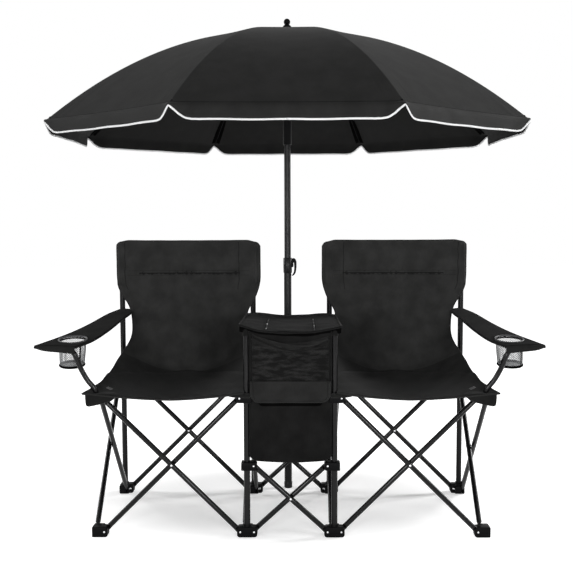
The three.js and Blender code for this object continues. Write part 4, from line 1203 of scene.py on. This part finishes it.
# The bag's front: half widths, lower and upper edges of its panel, pocket, hem strip and flap; the hem strip
# is black, painted shade under the flap
front_half, front_top = 123 * mm, 633 * mm
pocket_half, pocket_bottom, pocket_top = 117 * mm, 470 * mm, 612 * mm
hem_shade_half, hem_shade_bottom, hem_shade_top = 96 * mm, 405 * mm, 440 * mm
flap_half, flap_bottom, flap_top = 119 * mm, 418 * mm, 481 * mm
header_half, header_bottom = 114 * mm, 594 * mm
header_rise, header_sag = 27 * mm, 24 * mm
front_binding = 2.2 * mm

# How far the rear edge stands above its plain height, from left to right
rear_edge_heights = [-3, 1, 0.5, -3.5, -6, -6, -5, -4, -1, -0.5, -5]
cover_thickness = 3 * mm
corner_loop_radius = 11.4 * mm
corner_loop_heights = (0.617, 0.625, 0.633, 0.640)
# The strip tucked under the front edge, black as painted shade under that edge: how far behind the edge and
# below it
tuck_rows = [(3, -3), (8, -12), (11, -22)]
# The tapes beside the lid: how far out, and how thick
zip_tapes = ((0.6, 0.9, zip_cloth), (3.4, 0.7, dark_cloth), (8.0, 0.5, dark_cloth))


def table_z(x, y):
    """The soft top: it slopes back a little and sags between the front posts."""
    behind_front = y - table_front
    back = behind_front / (table_rear - table_front)
    behind = smooth(back)
    offset = (x - middle_x) / table_half
    slope = table_front_z + (table_rear_z - table_front_z) * back
    across = 1 - np.clip(np.abs(offset), 0, 1) ** 2.2
    sag = 16 * mm * across * np.exp(-behind_front / 0.11) + 2.5 * mm * across * (1 - behind)
    ripple = 0.8 * mm * np.sin(70 * (x - middle_x)) * np.exp(-behind_front / 0.09) * across
    waves = 1.5 * mm * np.sin(46 * y + 5 * np.sin(9 * x)) + 1.2 * mm * np.sin(83 * y + 17 * x)
    waves = waves * (1 - np.abs(offset) ** 6) * smooth(behind_front / 0.05) * (1 - behind**6)
    place = (offset + 1) / 2 * (len(rear_edge_heights) - 1)
    rear_edge = table_spline(rear_edge_heights, place) * mm * behind
    left_lift = 5 * mm * smooth((-offset - 0.55) / 0.45) * (1 - 0.4 * behind)
    return slope - sag + ripple + waves + rear_edge + left_lift


def soften(*pieces):
    for made in pieces:
        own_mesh(made)


# A zip pull's beads: outward, back from the lid's front edge, radius
pull_beads = {
    -1: ((1.5, 118, 2.6), (3.5, 106, 2.0), (0.5, 20, 1.8), (2.5, 14, 1.3)),
    1: ((0.5, 265, 1.3), (0.5, 150, 1.5), (0.5, 60, 1.7), (0.5, 45, 1.3)),
}


def table_grid(xs, ys):
    y, x = np.meshgrid(ys, xs, indexing="ij")
    return xyz(x, y, table_z(x, y))


def make_table():
    left, right = middle_x - table_half, middle_x + table_half
    xs = np.unique(np.append(np.linspace(left, right, 53), [middle_x - lid_half, middle_x + lid_half]))
    ys = np.unique(np.append(np.linspace(table_front, table_rear, 61), [lid_front, lid_rear]))
    points = table_grid(xs, ys)
    centre_x, centre_y = (xs[1:] + xs[:-1]) / 2, (ys[1:] + ys[:-1]) / 2
    lid_columns = np.abs(centre_x - middle_x) < lid_half
    lid_rows = (centre_y > lid_front) & (centre_y < lid_rear)
    piece = Piece("table_cover")
    piece.grid(points, table_cloth, cover_thickness, keep=~(lid_columns[None] & lid_rows[:, None]))
    piece.tube(edge_of(points) - (0, 0, cover_thickness / 2), 3.1 * mm, bag_cloth, 10, closed=True)
    # the strip tucked under the front edge, in black: painted shade under the edge
    rows = [points[0] + np.array((0, behind, down)) * mm for behind, down in tuck_rows]
    piece.grid(np.array(rows)[::-1], shade_cloth, 1.5 * mm)
    tape_ys = np.linspace(lid_front, lid_rear, 60)
    for side in (-1, 1):
        for offset, radius, look in zip_tapes:
            line = table_grid([middle_x + side * (lid_half + offset * mm)], tape_ys)
            piece.tube(line[:, 0] + (0, 0, 0.3 * mm), radius * mm, look, 6)
        for step, (dx, dy, radius) in enumerate(pull_beads[side]):
            at_x, at_y = middle_x + side * (lid_half + dx * mm), lid_front + dy * mm
            at = (at_x, at_y, float(table_z(np.array(at_x), np.array(at_y))) + 1.2 * mm)
            radius = radius * mm
            swell = [(across, 0.7 * up) for across, up in arc(radius, 0, -1.3, 1.3, 6)]
            bead = [(0, -radius), *swell, (0, 0.7 * radius)]
            piece.turned(bead, rivet_steel if step != 1 else tack_cloth, at, sides=12)
    # corner loops over the front posts
    for column in ("inner_left", "inner_right"):
        loop = level_rings(column_x[column], front_y, corner_loop_radius, corner_loop_heights, 20)
        piece.grid(loop, bag_cloth, 1.4 * mm, wrap=True)
    made = piece.finish("umbrella_lower_pole")
    soften(made)

    lid = Piece("lid_panel")
    gap = 0.4 * mm
    xs = np.linspace(middle_x - lid_half + gap, middle_x + lid_half - gap, 25)
    points = table_grid(xs, np.linspace(lid_front + gap, lid_rear, 45))
    lid.grid(points, table_cloth, cover_thickness)
    lid.tube(edge_of(points) - (0, 0, 1 * mm), 1.3 * mm, dark_cloth, 8, closed=True)
    made = lid.finish("table_lid", ["table_lid"])
    soften(made)


def rounded_plan(half_x, low_y, high_y, corner, count=12):
    """A rounded rectangle in plan, counter-clockwise, as (x, y) pairs about the table's middle."""
    line = []
    for cx, cy, start in (
        (half_x - corner, low_y + corner, -90), (half_x - corner, high_y - corner, 0),
        (-half_x + corner, high_y - corner, 90), (-half_x + corner, low_y + corner, 180),
    ):
        for step in range(count + 1):
            angle = math.radians(start + 90 * step / count)
            line.append((cx + corner * math.cos(angle), cy + corner * math.sin(angle)))
    return np.array(line)


def towards_middle(ring, shares):
    """Rings that shrink towards the middle of one, for a flat floor."""
    return np.array([ring * (1 - share) + share * ring.mean(0) for share in shares])


def make_bag():
    piece = Piece("cooler_bag_body")
    plan = rounded_plan(bag_half, bag_front + 2 * mm, bag_rear, bag_corner)
    dense = []
    for first, second in zip(plan, np.roll(plan, -1, 0)):
        steps = max(1, int(np.linalg.norm(second - first) / bag_step))
        dense.extend(first + (second - first) * step / steps for step in range(steps))
    plan = np.array(dense)
    centre = np.array((0.0, (bag_front + bag_rear) / 2))
    rings = []
    for share in [*np.linspace(0, bag_tuck_share, 6), *np.linspace(0.06, 0.97, 24), 1]:
        tuck = 1 - 0.05 * (1 - min(share / bag_tuck_share, 1)) ** 2
        bulge = 1 + 0.012 * math.sin(math.pi * share) - 0.012
        wave = 0.004 * np.sin(9 * share + 14 * plan[:, 1] + 3 * plan[:, 0])
        ring = centre + (plan - centre) * (tuck * bulge + wave[:, None] * 0.6)
        top = table_z(middle_x + ring[:, 0], ring[:, 1]) - 3.5 * mm
        z = bag_bottom + (top - bag_bottom) * share
        rings.append(xyz(middle_x + ring[:, 0], ring[:, 1], z))
    rings = np.array(rings)
    piece.grid(rings, bag_cloth, bag_wall, wrap=True)
    piece.grid(towards_middle(rings[0], (0, 0.3, 0.6, 0.98))[::-1], bag_cloth, bag_wall, wrap=True)
    # the pale lining inside, above the floor
    middles = rings[2:].mean(1, keepdims=True)
    lining = middles + (rings[2:] - middles) * (0.955, 0.965, 1)
    piece.grid(lining[:, ::-1], lining_cloth, lining_wall, wrap=True)
    piece.grid(towards_middle(lining[0], (0, 0.5, 0.98)), lining_cloth, lining_wall, wrap=True)
    made = piece.finish("umbrella_lower_pole", ["cooler_bag"])
    soften(made)


def make_bag_front():
    """The front panel with its bindings, the mesh pocket and the flap below it."""
    piece = Piece("bag_front_panel")

    def bag_y(x, z):
        wave = 1.4 * mm * np.sin(31 * (z + 0.3 * x)) + 0.9 * mm * np.sin(52 * x + 20 * z)
        return bag_front + 1.0 * mm + wave * 0.6

    def panel(half, low, high, corner, forward, material, thickness, bow=0.0, swell=0.0, rows=40, sag=0.0):
        """A panel with rounded lower corners. bow lowers its top edge, swell bellies it forward."""
        zs = np.linspace(0, 1, rows)[:, None]
        us = np.linspace(-1, 1, 40)[None]
        top = high - bow * (1 - us**2)
        floor = low + sag * us**2
        z = floor + (top - floor) * zs
        inset = np.clip(1 - (z - floor) / corner, 0, 1)
        width = half - corner * (1 - np.sqrt(np.clip(1 - inset**2, 0, 1)))
        x = us * width
        lift = swell * (1 - np.abs(us) ** 3) * np.sin(math.pi * np.clip(zs, 0.02, 1) ** 0.8)
        y = bag_y(x, z) - forward - lift
        points = xyz(middle_x + x, y, z)
        piece.grid(points, material, thickness)
        return points

    def bind(lines, inset, radius, material, sides=8):
        for line in lines:
            piece.tube(line - (0, inset, 0), radius, material, sides)

    # main panel and its binding
    outer = panel(
        front_half, bag_bottom - 1 * mm, front_top, corner=20 * mm, forward=1 * mm,
        material=bag_cloth, thickness=2 * mm, sag=5 * mm,
    )
    bind((outer[:, 0], outer[:, -1], outer[0]), 0.8 * mm, front_binding, dark_cloth)
    # the gathered top of the pocket, in swags
    us, down = np.meshgrid(np.linspace(-1, 1, 90), np.linspace(1, 0, 24))
    z = header_bottom + header_rise * down - header_sag * (1 - us**2) - 3 * mm * us
    swags = np.sin(8.5 * down + 2.4 * np.sin(2.1 * us + 0.6)) + 0.4 * np.sin(17 * down + 9 * us)
    y = bag_y(us * header_half, z) - 5 * mm - 3.2 * mm * swags - 2 * mm * (1 - us**2)
    gathers = xyz(middle_x + us * header_half, y, z)
    piece.grid(gathers[::-1], header_cloth, 1.2 * mm)
    # mesh pocket
    points = panel(
        pocket_half, pocket_bottom, pocket_top, corner=4 * mm, forward=4 * mm,
        material=mesh_cloth, thickness=0.8 * mm, bow=header_sag, swell=9 * mm,
    )
    bind((points[:, 0], points[:, -1]), 1 * mm, front_binding, dark_cloth)
    # flap, over a black strip at the pocket's hem: painted shade under the flap
    panel(
        hem_shade_half, hem_shade_bottom, hem_shade_top, corner=12 * mm, forward=5 * mm,
        material=shade_cloth, thickness=1.2 * mm,
    )
    points = panel(
        flap_half, flap_bottom, flap_top, corner=26 * mm, forward=11 * mm,
        material=flap_cloth, thickness=2.4 * mm, swell=4 * mm, rows=30,
    )
    bind((points[:, 0], points[:, -1], points[0]), 0.6 * mm, 2.0 * mm, binding_cloth)
    # the stitches inside the flap's binding
    stitched = points * (0.94, 1, 1) + (0.06 * middle_x, 0, 0)
    raised = stitched[0] + (0, 0, 7 * mm)
    bind((stitched[3:, 0], stitched[3:, -1], raised), 0.9 * mm, 0.6 * mm, dark_cloth, 6)
    made = piece.finish("umbrella_lower_pole")
    soften(made)


# Umbrella
canopy_radius = 822 * mm
canopy_drop = 328 * mm
canopy_top = 1612.6 * mm
canopy_power = 2.1
umbrella_turn = math.radians(0.5)
rib_count = 8
half_gore = math.pi / rib_count
rib_angles = [(2 * rib + 1) * half_gore - math.pi / 2 + umbrella_turn for rib in range(rib_count)]
hem_inset = 16 * mm
valance = 46 * mm
# How far the hem has dropped, at equal steps away from the rib's tip
scallop_shares = [0, 0.29, 0.64, 0.875, 0.965, 0.99, 1, 1]
scallop_step = 12 * mm
valance_flare = 9 * mm
held_drop = 10 * mm
canopy_thickness = 1.2 * mm
valance_thickness = 1 * mm
piping_ring = bar_ring(2.9 * mm, 1.8 * mm, 0.8, 10)
# Where the cloth is divided between a rib and the middle of the gore, and near the crown
gore_shares = [0.012, 0.025, 0.04, 0.055, 0.075, 0.1, 0.125, 0.155, 0.19, 0.23, *np.linspace(0.28, 1, 17)]
canopy_radii = [6.5 * mm, 16 * mm, *np.linspace(0.04, canopy_radius, 50)]
# Where the rib's pocket starts and ends, as shares of the radius; it is black as painted shade
pocket_start_share = 0.7
pocket_end_share = 0.985
rib_pivot = 17.5 * mm
rib_radius = 2.6 * mm
rib_ball = 4.5 * mm


def canopy_z(radius):
    return canopy_top - canopy_drop * (radius / canopy_radius) ** canopy_power


def gore_surface(t, radius):
    """A point of the canopy at a share t of the way from one rib (-1) past a rib (0) to the next."""
    away = np.abs(t)
    side = np.sign(t)
    chord = radius * math.cos(half_gore)
    # the cloth is straight from rib to rib, and its hem is drawn in halfway between them
    drawn = hem_inset * 2 * away * (1 - away / 2) * (radius / canopy_radius) ** 2
    x = radius + (chord * math.cos(half_gore) - radius) * away - drawn * math.cos(half_gore)
    y = side * (chord * math.sin(half_gore) * away - drawn * math.sin(half_gore))
    rim_share = radius / canopy_radius
    top = smooth(1 - radius / 0.45)
    middle = np.sin(math.pi * away / 2) ** 2
    rounded = canopy_z(radius * math.cos(half_gore)) - canopy_z(radius)
    round_top = rounded * middle * top - 3 * mm * smooth(1 - radius / 0.35)
    hollow = 3 * mm * middle * smooth(radius / 0.35) * (1 - rim_share**4)
    # short creases where the hem is tied down at the rib's tip
    crease = 0.25 * mm * np.sin(110 * away + 9 * rim_share)
    crease = crease * hill(rim_share, 1, 0.16) * hill(away, 0.16, 0.13)
    z = canopy_z(radius) + round_top - hollow + crease
    return xyz(x, y, z)


def valance_rows(ts, shares):
    """The strip that hangs from the hem, scalloped up to the rib's tip."""
    top = gore_surface(ts, np.full_like(ts, canopy_radius))
    distance = np.abs(top[:, 1])
    shape = table_spline(scallop_shares, distance / scallop_step)
    drop = held_drop + (valance - held_drop) * shape + 0.6 * mm * np.sin(distance * 34 + 1) * shape
    facing = half_gore * np.sign(ts) * smooth(np.abs(ts) / 0.2)
    rows = []
    for share in shares:
        roll = 1 - math.exp(-share / 0.14)
        reach = valance_flare * (roll - 0.25 * share) * (1 + 0.45 * (1 - shape))
        reach = reach + 0.8 * mm * np.sin(distance * 45 + 2.0) * share
        rows.append(top + xyz(reach * np.cos(facing), reach * np.sin(facing), -drop * share))
    return np.array(rows)


def rib_turn(angle):
    """What turns a row of points from +X to a rib's heading."""
    return np.array(Matrix.Rotation(angle, 3, "Z")).T


def rib_tangent(angle):
    return (-math.sin(angle), math.cos(angle), 0)


def make_gore(rib, angle):
    """The cloth on both sides of one rib, out to the middle of each neighbouring gore."""
    piece = Piece(f"canopy_gore_{rib + 1}")
    turn = rib_turn(angle)
    right = np.array(gore_shares)
    ts = np.concatenate([-right[::-1], [0], right])
    radius, t = np.meshgrid(canopy_radii, ts, indexing="ij")
    points = gore_surface(t, radius) @ turn
    normals = surface_normals(gore_surface, t, radius, True, 1e-4) @ turn
    piece.grid(points[:, ::-1], canopy_cloth, canopy_thickness, normals[:, ::-1], lining=canopy_lining)
    rows = valance_rows(ts, np.linspace(0, 1, 9)) @ turn
    piece.grid(rows[:, ::-1], valance_cloth, valance_thickness, lining=canopy_lining)
    fine = np.linspace(-1, 1, 121)
    edge = valance_rows(fine, [1.0])[0] @ turn
    piece.sweep(edge, piping_ring, piping_cloth, up=(0, 0, 1))
    hem = (gore_surface(fine, np.full_like(fine, canopy_radius - 0.5 * mm)) + (0, 0, 0.4 * mm)) @ turn
    piece.tube(hem, 0.9 * mm, dark_cloth, 6)
    # the pocket that holds the rib's tip, under the cloth, in black: painted shade round the rib
    pocket_radii = np.linspace(pocket_start_share, pocket_end_share, 12) * canopy_radius
    pocket_t, pocket_r = np.meshgrid(np.linspace(-1, 1, 9), pocket_radii)
    half_width = 3 * mm + 13 * mm * smooth((pocket_r / canopy_radius - pocket_start_share) / 0.25)
    under = canopy_z(pocket_r) - 2.4 * mm - 0.6 * half_width * pocket_t**2
    under = under - 8.5 * mm * (1 - pocket_t**2) * smooth((canopy_radius - pocket_r) / 0.03)
    pocket = xyz(pocket_r, pocket_t * half_width, under) @ turn
    piece.grid(pocket, shade_cloth, 0.8 * mm)
    made = piece.finish(f"umbrella_rib_{rib + 1}", ["umbrella_canopy"] if rib == 0 else ())
    rib_tangent(angle)
    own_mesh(made)


def make_rib(rib, angle):
    piece = Piece(f"rib_rod_{rib + 1}")
    radii = np.linspace(rib_pivot, canopy_radius - 9 * mm, 26)
    depth = 7.5 * mm * smooth((canopy_radius - radii) / 0.03) + 2 * mm
    line = xyz(radii, 0, canopy_z(radii) - depth)
    line[0, 2] = joints["umbrella_close"]["pos_m"][2]
    line = line @ rib_turn(angle)
    piece.tube(line, rib_radius, rib_paint, 10)
    ball = [(0, -rib_ball), *arc(rib_ball, 0, -1.3, 1.3, 9), (0, rib_ball)]
    piece.turned(ball, gloss_plastic, line[-1], sides=16)
    name = f"umbrella_rib_{rib + 1}"
    piece.finish(name, [name])


runner_z = 1330 * mm
stretcher_end = 312 * mm
stretcher_radius = 2.2 * mm
clip_profile = drum(4.4 * mm, -5 * mm, 5 * mm)


def make_stretcher(rib, angle):
    """A thin rod from the runner to its rib."""
    piece = Piece(f"stretcher_{rib + 1}")
    start = (21 * mm, 0, runner_z - 6 * mm)
    end = (stretcher_end, 0, float(canopy_z(stretcher_end)) - 14 * mm)
    path = np.linspace(start, end, 6) @ rib_turn(angle)
    piece.tube(path, stretcher_radius, rib_paint, 8)
    for at in (path[0], path[-1]):
        piece.turned(clip_profile, gloss_plastic, at, rib_tangent(angle), 14)
    made = piece.finish("umbrella_runner")
    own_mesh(made)


# The clamp's lever as (outward, upward from its screw), and its half thickness on the way
lever_path = [
    (15, 4), (16.5, 15), (21, 19.5), (26, 13.5), (27.2, 2), (27, -12), (24.8, -25), (19.5, -33),
    (15.8, -36),
]
lever_widths = [4.5, 6, 6.5, 5.2, 4.3, 4.1, 3.7, 3, 1.8]
lever_half = 6 * mm
screw_z = joints["clamp_screw_turn"]["pos_m"][2]
lower_pole_top = 828 * mm
upper_pole_radius = 11.5 * mm
upper_pole_wall = 1.2 * mm
cap_depth = 6 * mm
bracket_y = rear_y + bar_offset + 3.4 * mm
bracket_half = 8.5 * mm
bracket_plate = 6 * mm
finial_radius = 11.4 * mm
finial_z = canopy_top + 45.8 * mm - finial_radius
ground_cap = profile([(0, 0), (13, 0), (14.6, 2), (14.6, 21), (14, 22), (13.4, 22)])
# Heights below the lower pole's top
pole_collar = [
    (13.4, -53.5), (14.6, -53), (15.4, -51.5), (15.4, -2), (14.4, -0.4), (13.6, 0), (12.2, 0),
    (12.2, -20), (0, -20),
]
screw_boss = profile([(0, 0), (6.5, 0), (6.5, 19), (5.5, 20), (0, 20)])
bracket_ring = profile([(0, -10.5), (15.4, -10.5), (16.4, -9.5), (16.4, 9.5), (15.4, 10.5), (0, 10.5)])
# Heights above the crown's and the runner's lower ends, and above the canopy
crown_hub = [(0, 0), (21.5, 0), (23, 1.5), (23, 7), (15, 9), (15, 25), (0, 26.5)]
crown_skirt = [(0, -1), (17.5, -1), (17, 2), (15.4, 12), (14.9, 18), (13, 21), (9.5, 24), (7.6, 26)]
runner_shape = [
    (0, 0), (13.4, 0), (14.6, 1.5), (14.6, 88), (18, 94), (24, 97), (24, 105), (23, 106), (0, 106),
]


def make_lower_pole():
    piece = Piece("lower_pole")
    piece.turned(ground_cap + profile(pole_collar, lower_pole_top), pole_paint)
    piece.turned(screw_boss, foot_plastic, (0, 0, screw_z), (1, 0, 0), 24)
    # the bracket: a plate on the rear bars' rivet, an arm to the pole and a ring round it
    low, high = bracket_z - bracket_half, bracket_z + bracket_half
    plates = (
        ((-16.4 * mm, bracket_y, low), (middle_x + bracket_half, bracket_y + bracket_plate, high)),
        ((-bracket_plate, bracket_y, low), (bracket_plate, -8 * mm, high)),
    )
    for corner, other_corner in plates:
        piece.mesh(box_object(corner, other_corner, 1.2 * mm, 2), frame_paint)
    piece.turned(bracket_ring, foot_plastic, (0, 0, bracket_z))
    head = bracket_y + 3 * mm
    reach = head - (rear_y - bar_offset - 3.4 * mm)
    pin = [(0, 0), (3 * mm, 0)] + profile([(3, 0), (4.6, 0), (3, 1.8), (0, 2)], reach)
    piece.turned(pin, rivet_steel, (middle_x, head, bracket_z), (0, -1, 0), 18)
    piece.finish("umbrella_lower_pole", ["umbrella_lower_pole"])


def make_upper_pole():
    piece = Piece("upper_pole")
    low, high = (corner.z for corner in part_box("umbrella_upper_pole"))
    inside = upper_pole_radius - upper_pole_wall
    tube = [(0, high - cap_depth), (inside, high - cap_depth), (inside, low)]
    tube += [(upper_pole_radius, low), (upper_pole_radius, high), (0, high)]
    piece.turned(tube, pole_paint, sides=40)
    piece.finish("umbrella_upper_pole", ["umbrella_upper_pole"])


def make_clamp():
    """A cam lever on its screw: thick at its root, and bent down like a hook."""
    piece = Piece("clamp_hook")
    piece.turned(drum(3.5 * mm, 11.8 * mm, 21 * mm), rivet_steel, (0, 0, screw_z), (1, 0, 0), 16)
    steps = np.linspace(0, len(lever_path) - 1, 34)
    out, up = spline(lever_path, steps).T * mm
    line = xyz(out, 0, screw_z + up)
    rings = [bar_ring(lever_half, width, 0.6, 16) for width in table_spline(lever_widths, steps) * mm]
    piece.sweep(line, rings, foot_plastic, up=(0, 1, 0))
    piece.finish("clamp_screw", ["clamp_screw"])


def make_crown():
    piece = Piece("crown_cap")
    piece.turned(profile(crown_hub, canopy_top - 30 * mm), gloss_plastic, sides=36)
    finial = [*arc(finial_radius, finial_z, -0.8, 1.45, 14), (0, finial_z + finial_radius)]
    piece.turned(profile(crown_skirt, canopy_top) + finial, gloss_plastic, sides=36)
    piece.finish("umbrella_upper_pole", ["umbrella_crown"])


def make_runner():
    piece = Piece("runner_sleeve")
    piece.turned(profile(runner_shape, runner_z - 106 * mm), gloss_plastic, sides=36)
    piece.finish("umbrella_runner", ["umbrella_runner"])


# Studio
floor_half = 14
floor_white = (0.86, 0.86, 0.86, 1)
# The floor glows white where it is seen, less near the object, so that its shadow shows
floor_glow = 0.27
floor_middle = (0.0, -0.12, 0)
floor_reach = (0.85, 0.54, 1)
floor_start = 0.5
floor_end = 1.15
# The light of the surroundings, from the horizon up
horizon_light = 0.3
zenith_light = 0.1
zenith_height = 0.7
# Each lamp's name, place, target, size and power
lamps = [
    ("left_strip", (-3.5, 0.7, 2.1), (0, -0.2, 0.9), (0.7, 2.4), 72),
    ("right_strip", (3.5, 0.9, 2.2), (0, -0.2, 0.9), (0.7, 2.4), 132),
    ("front_left", (-1.35, -4.2, 0.95), (0, -0.2, 0.75), (0.6, 0.9), 58),
    ("front_right", (1.35, -4.2, 0.95), (0, -0.2, 0.75), (0.6, 0.9), 58),
]


def seen_rays(tree):
    """1 for what the camera sees, straight, in a mirror or through glass, and 0 for the rest."""
    path = tree.nodes.new("ShaderNodeLightPath")
    seen = path.outputs["Is Camera Ray"]
    for kind in ("Is Glossy Ray", "Is Transmission Ray"):
        added = tree.nodes.new("ShaderNodeMath")
        added.use_clamp = True
        tree.links.new(seen, added.inputs[0])
        tree.links.new(path.outputs[kind], added.inputs[1])
        seen = added.outputs[0]
    return seen


def make_floor():
    corners = [(x * floor_half, y * floor_half, 0) for x, y in ((-1, -1), (1, -1), (1, 1), (-1, 1))]
    data = bpy.data.meshes.new("floor")
    data.from_pydata(corners, [], [(0, 1, 2, 3)])
    floor = placed("floor", data)
    made = Shader("floor_white")
    tree = made.tree
    made.set(Base_Color=floor_white, Roughness=0.9, Specular_IOR_Level=0.0)
    place = made.add("NewGeometry", output="Position")
    offset = made.add("VectorMath", {0: place, 1: floor_middle}, operation="SUBTRACT")
    share = made.add("VectorMath", {0: offset, 1: floor_reach}, operation="DIVIDE")
    away = made.add("VectorMath", {0: share}, "Value", operation="LENGTH")
    level = made.ramp(away, floor_glow, 1.0, floor_start, floor_end, interpolation_type="SMOOTHSTEP")
    strength = made.maths("MULTIPLY", seen_rays(tree), level)
    glow = made.add("Emission", {"Color": (1, 1, 1, 1), "Strength": strength})
    both = made.add("AddShader", {0: made.surface.outputs[0], 1: glow})
    tree.links.new(both, tree.nodes["Material Output"].inputs["Surface"])
    data.materials.append(made.material)


def make_world():
    """White where it is seen; as a light, soft, and brighter at the horizon."""
    world = bpy.data.worlds.new("studio")
    bpy.context.scene.world = world
    world.use_nodes = True
    tree = world.node_tree
    white, soft = tree.nodes["Background"], tree.nodes.new("ShaderNodeBackground")
    for background in (white, soft):
        background.inputs["Color"].default_value = (1, 1, 1, 1)
    towards = tree.nodes.new("ShaderNodeTexCoord")
    split = tree.nodes.new("ShaderNodeSeparateXYZ")
    height = tree.nodes.new("ShaderNodeMapRange")
    tree.links.new(towards.outputs["Generated"], split.inputs[0])
    tree.links.new(split.outputs["Z"], height.inputs["Value"])
    height.inputs["From Max"].default_value = zenith_height
    height.inputs["To Min"].default_value = horizon_light
    height.inputs["To Max"].default_value = zenith_light
    tree.links.new(height.outputs[0], soft.inputs["Strength"])
    mix = tree.nodes.new("ShaderNodeMixShader")
    tree.links.new(seen_rays(tree), mix.inputs[0])
    tree.links.new(soft.outputs[0], mix.inputs[1])
    tree.links.new(white.outputs[0], mix.inputs[2])
    tree.links.new(mix.outputs[0], tree.nodes["World Output"].inputs["Surface"])


def make_lamps():
    for name, place, target, size, power in lamps:
        data = bpy.data.lights.new(name, "AREA")
        data.shape = "RECTANGLE"
        data.size, data.size_y = size
        data.energy = power
        lamp = placed(name, data)
        lamp.location = place
        lamp.rotation_euler = (Vector(target) - Vector(place)).to_track_quat("-Z", "Y").to_euler()


bpy.context.scene.view_settings.view_transform = "Standard"
make_floor()
make_world()
make_lamps()
make_feet()
make_hubs()
make_bars()
for chair in hand_signs:
    make_sling(chair)
    make_armrest(chair)
    make_cup(chair)
make_sleeves()
make_corner_boots()
make_bag()
make_bag_front()
make_table()
make_lower_pole()
make_upper_pole()
make_clamp()
make_crown()
make_runner()
for rib_number, rib_angle in enumerate(rib_angles):
    make_gore(rib_number, rib_angle)
    make_rib(rib_number, rib_angle)
    make_stretcher(rib_number, rib_angle)
